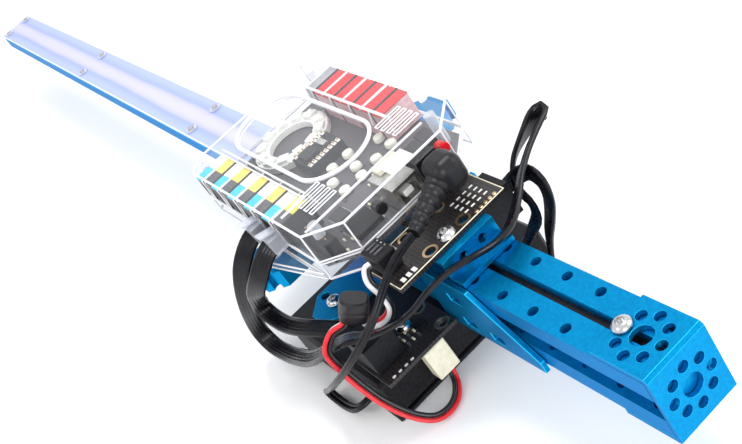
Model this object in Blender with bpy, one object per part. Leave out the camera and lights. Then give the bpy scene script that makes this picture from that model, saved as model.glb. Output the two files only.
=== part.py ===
"""A light-up toy sword built from a drilled aluminium beam kit.

The blade points along -X, the pommel is at +X and the sword lies on its battery box, whose underside
is at Z = 0.  Lengths below are in millimetres, and the meshes are in metres.
"""

import math

import bmesh
import bpy
from mathutils import Matrix, Vector

MM = 0.001
GAP = 0.3                      # clearance between touching pieces

# Beam kit
BEAM_WIDTH = 24.0
BEAM_HEIGHT = 8.0
CORE_WIDTH = 16.0
HOLE_PITCH = 16.0
HOLE_RADIUS = 2.05
SLOT_WIDTH = 3.8
SLOT_DEPTH = 3.4
PLATE = 2.0                    # thickness of every bent or flat kit plate
HANDLE_LENGTH = 192.0
BLADE_LENGTH = 496.0

# Heights above the table, from the battery box up
BOX_HEIGHT = 20.0
STRAP_LOW = BOX_HEIGHT + GAP
BOTTOM_BEAM_LOW = STRAP_LOW + PLATE + GAP
CORE_LOW = BOTTOM_BEAM_LOW + BEAM_HEIGHT + GAP
TOP_BEAM_LOW = CORE_LOW + BEAM_HEIGHT + GAP
BEAM_TOP = TOP_BEAM_LOW + BEAM_HEIGHT
DECK = BEAM_TOP + GAP          # underside of whatever is bolted on the top beams

# Places along the sword
OVERALL_LENGTH = PLATE + GAP + HANDLE_LENGTH + GAP + BLADE_LENGTH
POMMEL_END = OVERALL_LENGTH / 2
TIP_END = -OVERALL_LENGTH / 2
HANDLE_END = POMMEL_END - PLATE - GAP
BLADE_END = TIP_END + BLADE_LENGTH

# Cover over the light strip
COVER_LENGTH = 440.0
COVER_LOW = DECK
COVER_TOP = COVER_LOW + 1.9
STRIP_THICKNESS = 0.8
COVER_SCREW_SPACING = 176.0
COVER_SCREW_INSET = 8.0
ROW_OFFSET = 8.0               # the kit's two hole rows lie this far from the middle

# Crossguard
GUARD_MIDDLE = 168.6
GUARD_LENGTH = 104.0
GUARD_CHAMFER = 7.0
GUARD_TOP = DECK + BEAM_HEIGHT

# Controller case
CASE_TIP_SIDE = 105.3
CASE_POMMEL_SIDE = 223.3
CASE_HALF_WIDTH = 37.0
CASE_TIP_CHAMFER = 7.0
CASE_CHAMFER = 13.0
CASE_WALL = 1.8
CASE_LOW = GUARD_TOP + GAP
CASE_SPLIT = CASE_LOW + 8.2
CASE_TOP = CASE_LOW + 22.0
BOARD_LEDGE = CASE_LOW + 4.2
BOARD_THICKNESS = 1.6
BOARD_TOP = BOARD_LEDGE + GAP + BOARD_THICKNESS
PART_LOW = BOARD_TOP + GAP

# Port sockets, two rows of five along the case
PORT_FIRST = 119.4
PORT_PITCH = 15.7
PORT_COUNT = 5
PORT_WIDTH = 14.2
END_PORT_WIDTH = 6.4           # the two end ports of the back row are narrow
PORT_DEPTH = 15.0
PORT_HEIGHT = 12.0
PORT_MOUTH = (10.0, 11.0, 7.4)  # width, depth and height of the hole that takes a plug

# What stands on the controller board
RING_PLACE = (126.4, 2.5)
RING_RADIUS = 17.8
RING_HOLE = 10.8
RADIO_LOW = (145.0, -7.0)
RADIO_SIZE = (15.0, 18.0, 5.4)
USB_SIDES = (-3.6, 8.0)
USB_HEIGHT = 10.8
JACK_SIDES = (9.2, 18.4)
JACK_PLACE = 13.8
JACK_TOP = 12.0
JACK_HEIGHT = PART_LOW + 7.2
PLUG_HEAD = (14.0, 12.0, 14.4)  # length, width and height of the battery plug's head

# Push buttons in the case's pommel side
POWER_PLACE = 21.4
RESET_PLACE = -10.0
BUTTON_HEIGHT = PART_LOW + 9.0
BUTTON_RADIUS = 2.2
BUTTON_LENGTH = 4.6
BUTTON_PROUD = 0.6             # how far a button stands out of the case

# Adapter boards
ADAPTER_MIDDLE = (235.3, -2.5)
ADAPTER_SIZE = (24.0, 51.0, 1.6)
ADAPTER_LOW = DECK + 9.0
SENSOR_LOW = BOX_HEIGHT + 2.6
SOCKET_HEIGHT = 14.0

# Battery box
BOX_TIP_SIDE = 152.3
BOX_POMMEL_SIDE = 227.3
BOX_FRONT = -52.0
BOX_BACK = 34.2
BOX_WALL = 1.5
LID_THICKNESS = 1.8
CELL_RADIUS = 6.75
CELL_LENGTH = 50.5
CELL_COUNT = 6

# Cables
RIBBON_WIDTH = 6.4
RIBBON_THICKNESS = 2.4
BUNDLE_DIAMETER = 3.9          # three 1.8 mm wires
LEAD_DIAMETER = 3.6

BLUE = (0.0, 0.27, 0.75)
CLEAR = (0.86, 0.89, 0.93)
BLACK = (0.012, 0.012, 0.014)
RED = (0.75, 0.02, 0.03)


def clear_scene():
    for thing in list(bpy.data.objects):
        bpy.data.objects.remove(thing, do_unlink=True)


def material(name, colour, roughness=0.5, metallic=0.0, alpha=1.0):
    finish = bpy.data.materials.new(name)
    finish.use_nodes = True
    shader = finish.node_tree.nodes["Principled BSDF"]
    shader.inputs["Base Color"].default_value = (*colour, 1.0)
    shader.inputs["Roughness"].default_value = roughness
    shader.inputs["Metallic"].default_value = metallic
    shader.inputs["Alpha"].default_value = alpha
    return finish


def add_object(name, mesh_data, centre, finish=None, round_piece=False):
    """Turn a bmesh, drawn in millimetres round its own centre, into a placed object."""
    bmesh.ops.scale(mesh_data, vec=(MM, MM, MM), verts=mesh_data.verts)
    bmesh.ops.recalc_face_normals(mesh_data, faces=mesh_data.faces)
    mesh = bpy.data.meshes.new(name)
    mesh_data.to_mesh(mesh)
    mesh_data.free()
    if finish:
        mesh.materials.append(finish)
    if round_piece:
        mesh.shade_smooth()
        mesh.set_sharp_from_angle(angle=math.radians(35))
    thing = bpy.data.objects.new(name, mesh)
    thing.location = Vector(centre) * MM
    bpy.context.collection.objects.link(thing)
    return thing


def add_box(mesh_data, low, high):
    """Add the box between two corners to a bmesh."""
    size = Vector(high) - Vector(low)
    middle = (Vector(high) + Vector(low)) / 2
    matrix = Matrix.Translation(middle) @ Matrix.Diagonal((*size, 1.0))
    return bmesh.ops.create_cube(mesh_data, size=1.0, matrix=matrix)["verts"]


def add_rod(mesh_data, start, end, radius, sides=12, end_radius=None):
    """Add a capped cylinder or cone between two points to a bmesh."""
    start, end = Vector(start), Vector(end)
    turn = (end - start).to_track_quat("Z", "Y").to_matrix().to_4x4()
    matrix = Matrix.Translation((start + end) / 2) @ turn
    bmesh.ops.create_cone(mesh_data, cap_ends=True, segments=sides, radius1=radius,
                          radius2=radius if end_radius is None else end_radius,
                          depth=(end - start).length, matrix=matrix)


def box(name, low, high, finish, bevel=0.0, origin=None):
    """A block between two corners, with its edges bevelled."""
    origin = (Vector(low) + Vector(high)) / 2 if origin is None else Vector(origin)
    mesh_data = bmesh.new()
    add_box(mesh_data, Vector(low) - origin, Vector(high) - origin)
    if bevel:
        bmesh.ops.bevel(mesh_data, geom=mesh_data.edges[:], offset=bevel, segments=1, affect="EDGES")
    return add_object(name, mesh_data, origin, finish)


def prism(name, outline, low, high, axis, finish, origin=(0, 0, 0)):
    """Extrude an outline along an axis.  The outline's two numbers are the other axes in X, Y, Z order."""
    mesh_data = bmesh.new()
    others = [index for index in range(3) if index != axis]
    rings = []
    for level in (low, high):
        ring = []
        for point in outline:
            place = [0.0, 0.0, 0.0]
            place[axis] = level
            place[others[0]], place[others[1]] = point
            ring.append(mesh_data.verts.new(Vector(place) - Vector(origin)))
        rings.append(ring)
    count = len(outline)
    for step in range(count):
        after = (step + 1) % count
        mesh_data.faces.new((rings[0][step], rings[0][after], rings[1][after], rings[1][step]))
    mesh_data.faces.new(rings[0])
    mesh_data.faces.new(rings[1])
    return add_object(name, mesh_data, origin, finish)


def rod(name, start, end, radius, finish, sides=16, end_radius=None):
    middle = (Vector(start) + Vector(end)) / 2
    mesh_data = bmesh.new()
    add_rod(mesh_data, Vector(start) - middle, Vector(end) - middle, radius, sides, end_radius)
    return add_object(name, mesh_data, middle, finish, round_piece=True)


def boolean(thing, tool, operation):
    """Combine a piece with a tool shape, which stays as a hidden wire outline."""
    tool.hide_render = True
    tool.display_type = "WIRE"
    modifier = thing.modifiers.new(operation.lower(), "BOOLEAN")
    modifier.operation = operation
    modifier.solver = "EXACT"
    modifier.object = tool


def cut(thing, boxes=(), rods=(), sides=12):
    """Cut boxes (low, high) and rods (start, end, radius) out of a piece."""
    mesh_data = bmesh.new()
    for low, high in boxes:
        add_box(mesh_data, low, high)
    for start, end, radius in rods:
        add_rod(mesh_data, start, end, radius, sides)
    boolean(thing, add_object(thing.name + "_cutter", mesh_data, (0, 0, 0)), "DIFFERENCE")
    return thing


def unite(thing, added):
    """Join another shape to a piece, as one solid."""
    boolean(thing, added, "UNION")


def octagon(low_x, high_x, half_width, chamfer, low_chamfer=None):
    """An outline in X and Y with its four corners cut off, those at low X by low_chamfer."""
    near = chamfer if low_chamfer is None else low_chamfer
    return [(low_x + near, -half_width), (high_x - chamfer, -half_width),
            (high_x, -half_width + chamfer), (high_x, half_width - chamfer),
            (high_x - chamfer, half_width), (low_x + near, half_width),
            (low_x, half_width - near), (low_x, -half_width + near)]


def hole_places(start, end):
    """Hole centres along the sword, counted from the pommel end in whole pitches."""
    place = POMMEL_END - HOLE_PITCH / 2
    places = []
    while place > start:
        if place < end:
            places.append(place)
        place -= HOLE_PITCH
    return places


# ---------------------------------------------------------------- blade and handle

def slotted_beam(name, low_z, finish):
    """A 24 mm kit beam with a threading slot along its top and two rows of holes through it."""
    half = BEAM_WIDTH / 2
    top = low_z + BEAM_HEIGHT
    outline = [(-half, low_z), (half, low_z), (half, top), (SLOT_WIDTH / 2, top),
               (SLOT_WIDTH / 2, top - SLOT_DEPTH), (-SLOT_WIDTH / 2, top - SLOT_DEPTH),
               (-SLOT_WIDTH / 2, top), (-half, top)]
    beam = prism(name, outline, HANDLE_END - HANDLE_LENGTH, HANDLE_END, 0, finish)
    holes = [((x, side, low_z - 1), (x, side, top + 1), HOLE_RADIUS)
             for x in hole_places(HANDLE_END - HANDLE_LENGTH + 4, HANDLE_END - 4)
             for side in (-ROW_OFFSET, ROW_OFFSET)]
    return cut(beam, rods=holes, sides=10)


def make_handle(anodised, steel):
    slotted_beam("handle_bottom_beam", BOTTOM_BEAM_LOW, anodised)
    core = box("handle_core_beam", (HANDLE_END - HANDLE_LENGTH, -CORE_WIDTH / 2, CORE_LOW),
               (HANDLE_END, CORE_WIDTH / 2, CORE_LOW + BEAM_HEIGHT), anodised)
    middle = CORE_LOW + BEAM_HEIGHT / 2
    cut(core, rods=[((x, -CORE_WIDTH, middle), (x, CORE_WIDTH, middle), HOLE_RADIUS)
                    for x in hole_places(HANDLE_END - HANDLE_LENGTH + 4, HANDLE_END - 4)], sides=10)
    slotted_beam("handle_top_beam", TOP_BEAM_LOW, anodised)
    make_pommel(anodised, steel)


def make_pommel(anodised, steel):
    """A bent plate that wraps the handle's end, with a ring of eight holes in each of its faces."""
    low, high = STRAP_LOW, DECK + PLATE
    inner_low, inner_high = low + PLATE, high - PLATE
    start = POMMEL_END - BEAM_WIDTH
    wall = POMMEL_END - PLATE
    corner = 1.2
    outline = [(start, low), (POMMEL_END - corner, low), (POMMEL_END, low + corner),
               (POMMEL_END, high - corner), (POMMEL_END - corner, high), (start, high),
               (start, inner_high), (wall, inner_high), (wall, inner_low), (start, inner_low)]
    bracket = prism("pommel_bracket", outline, -BEAM_WIDTH / 2, BEAM_WIDTH / 2, 1, anodised)
    centre_x = POMMEL_END - BEAM_WIDTH / 2 - 1
    centre_z = (low + high) / 2
    rods = [((centre_x, 0, low - 1), (centre_x, 0, high + 1), 4.0),
            ((wall - 1, 0, centre_z), (POMMEL_END + 1, 0, centre_z), 4.0)]
    for index in range(8):
        angle = math.tau * index / 8
        along, across = 8 * math.cos(angle), 8 * math.sin(angle)
        rods.append(((centre_x + along, across, low - 1), (centre_x + along, across, high + 1), HOLE_RADIUS))
        rods.append(((wall - 1, along, centre_z + across), (POMMEL_END + 1, along, centre_z + across),
                     HOLE_RADIUS))
    cut(bracket, rods=rods)
    screw_head("pommel_screw", (centre_x - 8, 0), high, 3.6, steel)


def make_blade(anodised, frosted, strip_finish, clear_finish):
    half = BEAM_WIDTH / 2
    web, side = 2.0, 1.5
    top, low = BEAM_TOP, TOP_BEAM_LOW
    outline = [(-half, low), (-half + side, low), (-half + side, top - web), (half - side, top - web),
               (half - side, low), (half, low), (half, top), (-half, top)]
    prism("blade_beam", outline, TIP_END, BLADE_END, 0, anodised)
    end = TIP_END + COVER_LENGTH
    channel = 6.0
    roof = COVER_LOW + STRIP_THICKNESS + GAP
    section = [(-half, COVER_LOW), (-channel, COVER_LOW), (-channel, roof), (channel, roof),
               (channel, COVER_LOW), (half, COVER_LOW), (half, COVER_TOP), (-half, COVER_TOP)]
    prism("blade_cover", section, TIP_END, end, 0, frosted)
    box("light_strip", (TIP_END + 6, -5, COVER_LOW), (end + 8, 5, COVER_LOW + STRIP_THICKNESS), strip_finish)
    for index in range(3):
        x = TIP_END + COVER_SCREW_INSET + index * COVER_SCREW_SPACING
        for side_name, y in (("front", -ROW_OFFSET), ("back", ROW_OFFSET)):
            low_z = COVER_TOP + GAP
            rod(f"cover_screw_{index + 1}_{side_name}", (x, y, low_z), (x, y, low_z + 1.6), 3.2,
                clear_finish, sides=12, end_radius=2.3)


# ---------------------------------------------------------------- crossguard and brackets

def make_guard(anodised):
    half = BEAM_WIDTH / 2
    outline = octagon(GUARD_MIDDLE - half, GUARD_MIDDLE + half, GUARD_LENGTH / 2, GUARD_CHAMFER)
    guard = prism("crossguard", outline, DECK, GUARD_TOP, 2, anodised)
    holes = []
    for step in range(-3, 4):
        for offset in (-ROW_OFFSET, ROW_OFFSET):
            y = step * HOLE_PITCH
            holes.append(((GUARD_MIDDLE + offset, y, DECK - 1), (GUARD_MIDDLE + offset, y, GUARD_TOP + 1),
                          HOLE_RADIUS))
    cut(guard, rods=holes, sides=10)


def screw_head(name, place, low, radius, steel):
    """A round screw head with sloping sides, standing on whatever it holds down."""
    rod(name, (*place, low + GAP), (*place, low + GAP + 2.2), radius, steel, end_radius=radius - 1.1)


def make_battery_strap(anodised, steel):
    """A flat plate under the handle that carries the battery box, with two holes at each end."""
    middle = 172.3
    half = BEAM_WIDTH / 2
    outline = octagon(middle - half, middle + half, 44.0, 8.0)
    strap = prism("battery_strap", outline, STRAP_LOW, STRAP_LOW + PLATE, 2, anodised)
    cut(strap, rods=[((x, y, STRAP_LOW - 1), (x, y, STRAP_LOW + PLATE + 1), HOLE_RADIUS)
                     for x in (middle - 8, middle) for y in (-34, 34)])
    screw_head("strap_screw", (middle, -34), STRAP_LOW + PLATE, 3.4, steel)


def make_adapter_mount(anodised):
    """A bent plate that lifts the adapter board over the top beam, with two holes in its standing wall."""
    wall = 250.8
    start = 225.0
    top = ADAPTER_LOW - GAP
    outline = [(start, top - PLATE), (wall - PLATE, top - PLATE), (wall - PLATE, DECK), (wall + 7, DECK),
               (wall + 7, DECK + PLATE), (wall, DECK + PLATE), (wall, top), (start, top)]
    mount = prism("adapter_mount", outline, -BEAM_WIDTH / 2, BEAM_WIDTH / 2, 1, anodised)
    middle = (DECK + top) / 2 + 0.4
    cut(mount, rods=[((wall - 5, y, middle), (wall + 3, y, middle), 1.9) for y in (-4, 5)], sides=10)


def make_gusset(anodised):
    """A triangular plate on the handle's front face with two long holes."""
    face = -BEAM_WIDTH / 2 - GAP
    outline = [(228.0, STRAP_LOW), (285.0, STRAP_LOW), (285.0, STRAP_LOW + 5), (259.0, BEAM_TOP),
               (228.0, BEAM_TOP)]
    gusset = prism("gusset_bracket", outline, face - PLATE, face, 1, anodised)
    slots = []
    for x, z in ((262.0, STRAP_LOW + 5.0), (246.0, STRAP_LOW + 5.0), (246.0, BEAM_TOP - 9.0)):
        slots.append(((x - 3.5, face - PLATE - 1, z - 1.9), (x + 3.5, face + 1, z + 1.9)))
    cut(gusset, boxes=slots)


# ---------------------------------------------------------------- controller

def case_outline(inset):
    """The case's outline in X and Y, moved inwards by an inset."""
    slant = 0.6 * inset                # what a 45 degree corner loses to the inset
    return octagon(CASE_TIP_SIDE + inset, CASE_POMMEL_SIDE - inset, CASE_HALF_WIDTH - inset,
                   CASE_CHAMFER - slant, CASE_TIP_CHAMFER - slant)


def hollow_out(thing, name, inset, low, high):
    """Cut the case's outline, inset and extruded between two heights, out of a piece."""
    cutter = prism(name, case_outline(inset), low, high, 2, None)
    boolean(thing, cutter, "DIFFERENCE")


def case_windows():
    """Openings in the case's sides for the ports and the two sockets."""
    row_low = PORT_FIRST - PORT_PITCH / 2
    row_high = row_low + PORT_COUNT * PORT_PITCH
    low, high = PART_LOW - GAP, PART_LOW + PORT_HEIGHT + GAP
    windows = []
    for side in (-1, 1):
        near, far = sorted((side * (CASE_HALF_WIDTH - 12), side * (CASE_HALF_WIDTH + 2)))
        windows.append(((row_low - GAP, near, low), (row_high + GAP, far, high)))
    end_low, end_high = CASE_POMMEL_SIDE - 4, CASE_POMMEL_SIDE + 2
    for (near, far), top in ((USB_SIDES, USB_HEIGHT), (JACK_SIDES, JACK_TOP)):
        windows.append(((end_low, near - GAP, low), (end_high, far + GAP, PART_LOW + top + GAP)))
    return windows


def case_vents():
    """Two groups of four slots in the case's top, towards its pommel end."""
    first = PORT_FIRST + (PORT_COUNT - 0.5) * PORT_PITCH + 2.0
    vents = []
    for side in (-1, 1):
        near, far = sorted((side * 15.0, side * 27.0))
        for step in range(4):
            x = first + step * 4.2
            vents.append(((x, near, CASE_TOP - 3), (x + 2.0, far, CASE_TOP + 1)))
    return vents


def make_case(clear_finish):
    """Two clear shells with cut corners that hold the controller board between them."""
    base = prism("case_base", case_outline(0), CASE_LOW, CASE_SPLIT, 2, clear_finish)
    hollow_out(base, "case_base_well", CASE_WALL + 3, CASE_LOW + CASE_WALL, CASE_SPLIT + 1)
    hollow_out(base, "case_base_ledge", CASE_WALL, BOARD_LEDGE, CASE_SPLIT + 1)
    cover = prism("case_cover", case_outline(0), CASE_SPLIT + GAP, CASE_TOP, 2, clear_finish)
    hollow_out(cover, "case_cover_hollow", CASE_WALL, CASE_SPLIT - 1, CASE_TOP - 1.4)
    cut(base, boxes=case_windows())
    cut(cover, boxes=case_windows() + case_vents(),
        rods=[((CASE_POMMEL_SIDE - 3, y, BUTTON_HEIGHT), (CASE_POMMEL_SIDE + 1, y, BUTTON_HEIGHT),
               BUTTON_RADIUS + 0.4) for y in (POWER_PLACE, RESET_PLACE)], sides=16)


def make_port(name, middle_x, side, finish, width=PORT_WIDTH):
    """A plug socket that opens to the front (side -1) or the back (side 1) of the case."""
    outer = side * (CASE_HALF_WIDTH - 0.4)
    inner = side * (CASE_HALF_WIDTH - 0.4 - PORT_DEPTH)
    near, far = sorted((outer, inner))
    half = width / 2
    port = box(name, (middle_x - half, near, PART_LOW), (middle_x + half, far, PART_LOW + PORT_HEIGHT), finish)
    mouth_width, mouth_depth, mouth_height = PORT_MOUTH
    mouth_width -= PORT_WIDTH - width if width < PORT_WIDTH else 0
    near, far = sorted((outer + side, outer - side * mouth_depth))
    low = PART_LOW + 1.6
    cut(port, boxes=[((middle_x - mouth_width / 2, near, low),
                      (middle_x + mouth_width / 2, far, low + mouth_height))])


def make_ports(finishes):
    """Five black sensor ports along the front; a narrow grey one and four red ones along the back."""
    for index in range(PORT_COUNT):
        x = PORT_FIRST + index * PORT_PITCH
        make_port(f"sensor_port_{index + 1}", x, -1, finishes["port"])
    narrow = (PORT_WIDTH - END_PORT_WIDTH) / 2
    last = PORT_FIRST + (PORT_COUNT - 1) * PORT_PITCH
    make_port("motor_port_1", PORT_FIRST + narrow, 1, finishes["grey_port"], END_PORT_WIDTH)
    for index in range(1, PORT_COUNT - 1):
        make_port(f"motor_port_{index + 1}", PORT_FIRST + index * PORT_PITCH, 1, finishes["red_port"])
    make_port("motor_port_5", last - narrow, 1, finishes["red_port"], END_PORT_WIDTH)


def make_controller(finishes):
    prism("controller_board", case_outline(CASE_WALL + 0.5), BOARD_LEDGE + GAP, BOARD_TOP, 2, finishes["board"])
    make_ports(finishes)
    ring_x, ring_y = RING_PLACE
    ring = rod("indicator_ring", (ring_x, ring_y, PART_LOW), (ring_x, ring_y, PART_LOW + 3), RING_RADIUS,
               finishes["white"], sides=32)
    cut(ring, rods=[((ring_x, ring_y, PART_LOW - 1), (ring_x, ring_y, PART_LOW + 4), RING_HOLE)], sides=24)
    radio_high = [start + size for start, size in zip((*RADIO_LOW, PART_LOW), RADIO_SIZE)]
    box("radio_module", (*RADIO_LOW, PART_LOW), radio_high, finishes["black"])
    outer = CASE_POMMEL_SIDE - 0.7
    low, high = USB_SIDES
    usb = box("usb_socket", (outer - 17.0, low, PART_LOW), (outer, high, PART_LOW + USB_HEIGHT), finishes["steel"])
    cut(usb, boxes=[((outer - 10.0, low + 1.7, PART_LOW + 1.6),
                     (outer + 1.0, high - 1.7, PART_LOW + USB_HEIGHT - 1.6))])
    low, high = JACK_SIDES
    jack = box("power_jack", (outer - 13.6, low, PART_LOW), (outer, high, PART_LOW + JACK_TOP), finishes["black"])
    cut(jack, rods=[((outer - 11.6, JACK_PLACE, JACK_HEIGHT), (outer + 1.0, JACK_PLACE, JACK_HEIGHT), 3.3)],
        sides=16)
    tip = CASE_POMMEL_SIDE + BUTTON_PROUD
    for name, y, finish in (("power_button", POWER_PLACE, "red"), ("reset_button", RESET_PLACE, "black")):
        rod(name, (tip - BUTTON_LENGTH, y, BUTTON_HEIGHT), (tip, y, BUTTON_HEIGHT), BUTTON_RADIUS,
            finishes[finish])


# ---------------------------------------------------------------- adapter boards

def make_adapter(finishes):
    half_x, half_y = ADAPTER_SIZE[0] / 2, ADAPTER_SIZE[1] / 2
    x, y = ADAPTER_MIDDLE
    top = ADAPTER_LOW + ADAPTER_SIZE[2]
    board = box("adapter_board", (x - half_x, y - half_y, ADAPTER_LOW), (x + half_x, y + half_y, top),
                finishes["circuit"])
    holes = [((x + along, y + across, ADAPTER_LOW - 1), (x + along, y + across, top + 1), HOLE_RADIUS)
             for along, across in ((-8, 8), (-8, 0), (-8, -8), (8, 8), (8, -8))]
    cut(board, rods=holes)
    socket_y = y + half_y
    socket_low = ADAPTER_LOW - GAP - SOCKET_HEIGHT
    socket = box("adapter_socket", (x - 7, BEAM_WIDTH / 2 + 0.5, socket_low),
                 (x + 7.5, socket_y + 3.5, ADAPTER_LOW - GAP), finishes["black"])
    cut(socket, boxes=[((x - 4.8, socket_y - 6, socket_low + 2), (x + 4.8, socket_y + 5, ADAPTER_LOW - 3))])
    box("adapter_header", (x - 9.1, y - half_y + 1.5, top + GAP), (x + 2.7, y - half_y + 9.5, top + 8.5),
        finishes["black"], bevel=0.5)


def make_sensor(finishes):
    """The second board, which lies on the battery box's pommel end in front of the handle."""
    low_x, high_x = 212.3, 236.3
    low_y, high_y = -49.0, -15.0
    top = SENSOR_LOW + 1.6
    board = box("sensor_board", (low_x, low_y, SENSOR_LOW), (high_x, high_y, top), finishes["circuit"])
    holes = ((218.5, -28.0), (216.3, -19.0), (232.3, -19.0))
    cut(board, rods=[((x, y, SENSOR_LOW - 1), (x, y, top + 1), HOLE_RADIUS) for x, y in holes])
    screw_head("sensor_screw", holes[0], top, 3.2, finishes["steel"])
    socket = box("sensor_socket", (214.0, -48.0, top + GAP), (229.0, -34.4, top + 12.3), finishes["black"])
    cut(socket, boxes=[((212.0, -46.2, top + 1.9), (225.0, -36.2, top + 9.3))])


# ---------------------------------------------------------------- battery box

def make_battery_box(finishes):
    shell = box("battery_box", (BOX_TIP_SIDE, BOX_FRONT, LID_THICKNESS + GAP),
                (BOX_POMMEL_SIDE, BOX_BACK, BOX_HEIGHT), finishes["black"], bevel=1.5)
    cut(shell, boxes=[((BOX_TIP_SIDE + BOX_WALL, BOX_FRONT + BOX_WALL, 0.0),
                       (BOX_POMMEL_SIDE - BOX_WALL, BOX_BACK - BOX_WALL, BOX_HEIGHT - BOX_WALL))])
    box("battery_lid", (BOX_TIP_SIDE, BOX_FRONT, 0), (BOX_POMMEL_SIDE, BOX_BACK, LID_THICKNESS),
        finishes["black"], bevel=0.5)
    width = BOX_BACK - BOX_FRONT - 2 * BOX_WALL
    pitch = width / CELL_COUNT
    middle_x = (BOX_TIP_SIDE + BOX_POMMEL_SIDE) / 2
    middle_z = LID_THICKNESS + GAP + CELL_RADIUS + 1.0
    for index in range(CELL_COUNT):
        y = BOX_FRONT + BOX_WALL + pitch * (index + 0.5)
        rod(f"battery_cell_{index + 1}", (middle_x - CELL_LENGTH / 2, y, middle_z),
            (middle_x + CELL_LENGTH / 2, y, middle_z), CELL_RADIUS, finishes["cell"], sides=14)


# ---------------------------------------------------------------- plugs and cables

def smooth_route(route, count):
    """Points evenly spaced along a smooth curve through the route's own points."""
    points = [Vector(point) for point in route]
    padded = [2 * points[0] - points[1], *points, 2 * points[-1] - points[-2]]
    fine = []
    for index in range(1, len(padded) - 2):
        before, start, end, after = padded[index - 1:index + 3]
        for step in range(24):
            t = step / 24
            fine.append(0.5 * (2 * start + (end - before) * t
                               + (2 * before - 5 * start + 4 * end - after) * t * t
                               + (3 * start - before - 3 * end + after) * t ** 3))
    fine.append(points[-1])
    lengths = [0.0]
    for here, there in zip(fine, fine[1:]):
        lengths.append(lengths[-1] + (there - here).length)
    spaced, index = [], 0
    for step in range(count):
        target = lengths[-1] * step / (count - 1)
        while index < len(fine) - 2 and lengths[index + 1] < target:
            index += 1
        share = (target - lengths[index]) / (lengths[index + 1] - lengths[index])
        spaced.append(fine[index].lerp(fine[index + 1], share))
    return spaced


def ribbon_sides(points, first_side, last_side):
    """The direction across a flat cable at each point: it turns as little as it can between its two ends."""
    count = len(points)
    sides, tangents = [], []
    side = Vector(first_side)
    for index in range(count):
        ahead = (points[min(index + 1, count - 1)] - points[max(index - 1, 0)]).normalized()
        side = (side - side.dot(ahead) * ahead).normalized()
        sides.append(side)
        tangents.append(ahead)
    ahead = tangents[-1]
    wanted = Vector(last_side)
    wanted = (wanted - wanted.dot(ahead) * ahead).normalized()
    twist = math.atan2(ahead.dot(side.cross(wanted)), side.dot(wanted))
    if abs(twist) > math.pi / 2:
        twist -= math.copysign(math.pi, twist)
    return [Matrix.Rotation(twist * index / (count - 1), 3, tangents[index]) @ sides[index]
            for index in range(count)], tangents


def ribbon(name, route, first_side, last_side, finish, count):
    """A flat cable: a six-sided section swept along the route."""
    points = smooth_route(route, count)
    half_width, half_thick = RIBBON_WIDTH / 2, RIBBON_THICKNESS / 2
    edge = half_width - 0.9
    section = [(-half_width, 0), (-edge, -half_thick), (edge, -half_thick),
               (half_width, 0), (edge, half_thick), (-edge, half_thick)]
    mesh_data = bmesh.new()
    rings = []
    for point, side, ahead in zip(points, *ribbon_sides(points, first_side, last_side)):
        up = ahead.cross(side)
        rings.append([mesh_data.verts.new(point + side * a + up * b) for a, b in section])
    for here, there in zip(rings, rings[1:]):
        for step in range(len(section)):
            after = (step + 1) % len(section)
            mesh_data.faces.new((here[step], here[after], there[after], there[step]))
    mesh_data.faces.new(rings[0])
    mesh_data.faces.new(rings[-1])
    return add_object(name, mesh_data, (0, 0, 0), finish, round_piece=True)


def round_cable(name, route, diameter, finish, count=48):
    curve = bpy.data.curves.new(name, "CURVE")
    curve.dimensions = "3D"
    curve.bevel_depth = diameter / 2 * MM
    curve.bevel_resolution = 2
    curve.use_fill_caps = True
    points = smooth_route(route, count)
    spline = curve.splines.new("POLY")
    spline.points.add(len(points) - 1)
    for spot, point in zip(spline.points, points):
        spot.co = (*(point * MM), 1.0)
    curve.materials.append(finish)
    thing = bpy.data.objects.new(name, curve)
    bpy.context.collection.objects.link(thing)
    return thing


# Where a flat cable leaves a port: straight out of the middle of its mouth.
PORT_MIDDLE = PART_LOW + 5.3

# The long flat cable: fourth port, down past the battery box, over the handle, a standing fold behind the
# sword, down behind the handle and up into the adapter board's socket.
LONG_RIBBON_ROUTE = [
    (166.5, -29.0, PORT_MIDDLE), (166.5, -38.0, PORT_MIDDLE), (167.0, -45.5, 65.5), (165.0, -52.5, 59.0),
    (160.0, -56.8, 49.0), (152.0, -59.4, 36.0), (142.0, -60.2, 22.0), (138.0, -60.4, 13.0),
    (143.0, -60.2, 7.5), (156.0, -59.4, 9.0), (170.0, -58.8, 14.0), (186.0, -58.0, 21.0),
    (200.0, -56.4, 28.8), (211.0, -53.0, 35.4), (221.5, -48.2, 40.6), (230.5, -42.4, 41.4),
    (238.0, -35.0, 42.8), (244.0, -28.0, 46.0), (248.0, -20.5, 50.5), (253.0, -12.5, 54.0),
    (258.5, -4.5, 55.5), (260.5, 4.0, 54.5), (257.5, 13.0, 53.0), (251.5, 22.5, 53.8), (245.8, 31.0, 56.0),
    (241.0, 40.2, 58.0), (238.2, 48.7, 60.0), (236.6, 54.4, 61.2), (233.8, 56.0, 61.0), (231.8, 52.6, 60.0),
    (232.4, 45.6, 58.0), (233.4, 37.5, 54.5), (236.0, 32.0, 50.0), (240.6, 30.0, 46.6), (244.8, 29.4, 43.4),
    (244.0, 28.6, 37.0), (238.6, 26.4, 30.0), (233.8, 22.6, 22.0), (232.0, 19.6, 13.5), (233.5, 19.0, 7.2),
    (236.8, 21.4, 4.6), (238.4, 25.2, 8.0), (238.2, 28.2, 15.5), (241.0, 30.4, 25.0), (248.0, 31.6, 36.5),
    (252.0, 32.8, 45.5), (250.6, 34.2, 51.4), (244.8, 34.8, 53.4), (239.0, 33.6, 51.6), (235.9, 29.2, 49.6),
    (235.3, 22.0, 49.3)]

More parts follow.
